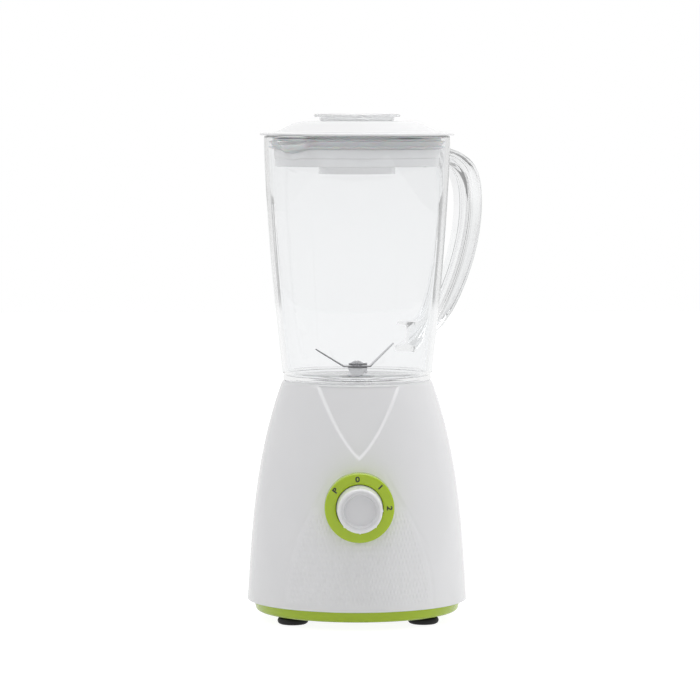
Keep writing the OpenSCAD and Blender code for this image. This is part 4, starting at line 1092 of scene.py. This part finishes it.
# -------- lid gasket
# A ring of pale silicone, moulded with two soft lips and stretched into the groove round the
# lid's plug. Its lips seal against the jar's wall.
lip_tip_r = gasket_high.x
seal_r = plug_r + 0.001
gasket_outline = [(groove_r, gasket_low.z, 0), (seal_r, gasket_low.z, 0.0002)]
for lip_z in (gasket_low.z + 0.0011, gasket_low.z + 0.0053):
    gasket_outline += [
        (lip_tip_r - 0.0004, lip_z, 0.0001), (lip_tip_r, lip_z + 0.0006, 0.0001),
        (seal_r, lip_z + 0.001, 0.0003), (seal_r, lip_z + 0.0014, 0.0003)]
gasket_outline += [(seal_r, gasket_high.z, 0.0002), (groove_r, gasket_high.z, 0)]
gasket = lathe("lid_seal", rounded(gasket_outline), silicone, 180)
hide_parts("lid_gasket")
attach(gasket, "lid")


# -------- measuring cap
# A cup of lightly frosted clear plastic, moulded in one piece, hangs in the lid's tube by its
# flange. It is lifted out and turned over to measure ingredients.
cap_low, cap_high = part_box("measuring_cap")
cap_r = cap_high.x
cap_top_z = cap_high.z
cap_low_z = cap_low.z
flange_z = cap_top_z - 0.0024
cup_r = 0.0273
cup_in_r = cup_r - 0.002
neck_r = cup_r + 0.0016
neck_z = lid_top_z + 0.0003
cap_outline = rounded([
    (0, cap_top_z, 0), (cap_r - 0.0006, cap_top_z, 0.0007), (cap_r, cap_top_z - 0.0008, 0.0005),
    (cap_r, flange_z + 0.0006, 0.0004), (cap_r - 0.0006, flange_z, 0.0004),
    (neck_r, flange_z, 0.0004), (neck_r, neck_z, 0.0003), (cup_r, neck_z, 0.0002),
    (cup_r, cap_low_z, 0.0006), (cup_in_r, cap_low_z, 0.0006), (cup_in_r, flange_z - 0.001, 0.003),
    (cup_r - 0.004, flange_z + 0.0002, 0.002), (0, flange_z + 0.0002, 0)])
cap_plastic = Finish("frosted_clear_plastic", IOR=1.49, Transmission_Weight=0.5)
cap_plastic.colour(cap_plastic.noise(0.03), (0.93, 0.935, 0.94), (0.95, 0.955, 0.96))
cap_plastic.rough(0.06, 0.05, 0.004)
cap_plastic.bump(cap_plastic.noise(0.0015), 0.00003)
let_light_through(cap_plastic, 0.8)
measuring_cap = lathe("measuring_cup", cap_outline, cap_plastic, 180)
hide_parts("measuring_cap")
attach(measuring_cap, "cap")


# -------- studio
# A white sweep: the floor, an even white surround, three soft lamps, and a long lens
# that looks a little down on the blender.
scene = bpy.context.scene
scene.view_settings.view_transform = "Standard"

world = bpy.data.worlds.new("studio")
scene.world = world
world.use_nodes = True
sky = Graph(world.node_tree)
to_right, to_back, up = sky.axes(sky.node("ShaderNodeTexCoord", {}, {}, "Generated"))
window = up.ramp(0.55, 0.75) * (0.1 - to_back).ramp(0.0, 0.3)
dark_side = (0.85 * to_right - 0.5 * to_back).ramp(0.3, 0.9)
reflected = 0.75 + 0.25 * up.ramp(-0.4, 0.2) + 2.3 * window - 0.5 * dark_side
bounced = sky.ray("Glossy Depth").ramp(0.0, 0.5)
enclosed = sky.ray("Diffuse Depth").ramp(0.0, 0.5)
through = 0.96 - 0.05 * up.ramp(-0.05, 0.0) + 0.7 * enclosed - bounced * (0.04 + 0.3 * up * up)
on_matt = 0.6
is_camera = sky.ray("Is Camera Ray")
is_through = sky.ray("Is Transmission Ray")
is_glossy = sky.ray("Is Glossy Ray")
unseen = is_through * through + (1 - is_through) * (
    is_glossy * reflected + (1 - is_glossy) * on_matt)
background = sky.tree.nodes["Background"].inputs
sky.put(background["Color"], (1, 1, 1, 1))
sky.put(background["Strength"], is_camera + (1 - is_camera) * unseen)

floor_white = Finish("floor_white")
seen = floor_white.ray("Is Camera Ray")
other_rays = {0: floor_white.ray("Is Transmission Ray"), 1: floor_white.ray("Is Glossy Ray")}
mirrored = floor_white.node("ShaderNodeMath", {"operation": "MAXIMUM"}, other_rays)
floor_white.colour(seen + mirrored, (0.82, 0.82, 0.82), (0.16, 0.16, 0.16))
floor_white.rough(0.6, 0.1, 0.3)
glow = floor_white.node("ShaderNodeEmission", {}, {"Strength": seen * 0.92 + mirrored * 0.745})
floor_white.surface(floor_white.node("ShaderNodeAddShader", {}, {0: floor_white.plain(), 1: glow}))
floor = block("floor", (-3, -4, -0.02), (3, 4, -0.0002), floor_white)


def softbox(name, place, size, power, mirrored):
    """A soft lamp aimed at the blender. Glossy surfaces mirror it only where that is said."""
    lamp = bpy.data.lights.new(name, "AREA")
    lamp.shape = "RECTANGLE"
    lamp.size, lamp.size_y = size
    lamp.energy = power
    box = placed(name, lamp)
    box.location = place
    aim = Vector((0, 0, 0.2)) - Vector(place)
    box.rotation_euler = aim.to_track_quat("-Z", "Y").to_euler()
    box.visible_glossy = mirrored
    box.visible_transmission = mirrored


softbox("right_softbox", (1.3, 0, 0.6), (0.9, 1.3), 4.5, False)
softbox("left_softbox", (-1.3, 0, 0.6), (0.9, 1.3), 1.8, False)
softbox("top_softbox", (0.1, -0.2, 1.9), (1.2, 1.2), 11, True)

camera_turn = radians(1.2)
camera_tilt = radians(3.983)
camera_distance = 2.7318
camera_left = 0.00541
camera_z = 0.39776
lens = bpy.data.cameras.new("camera")
lens.lens = 181.9
lens.sensor_width = 36
lens.clip_end = 20
camera = placed("camera", lens)
ahead = Vector((sin(camera_turn), cos(camera_turn), 0))
rightwards = Vector((cos(camera_turn), -sin(camera_turn), 0))
camera.location = -camera_distance * ahead - camera_left * rightwards + Vector((0, 0, camera_z))
look = ahead * cos(camera_tilt) - Vector((0, 0, sin(camera_tilt)))
camera.rotation_euler = look.to_track_quat("-Z", "Y").to_euler()
scene.camera = camera
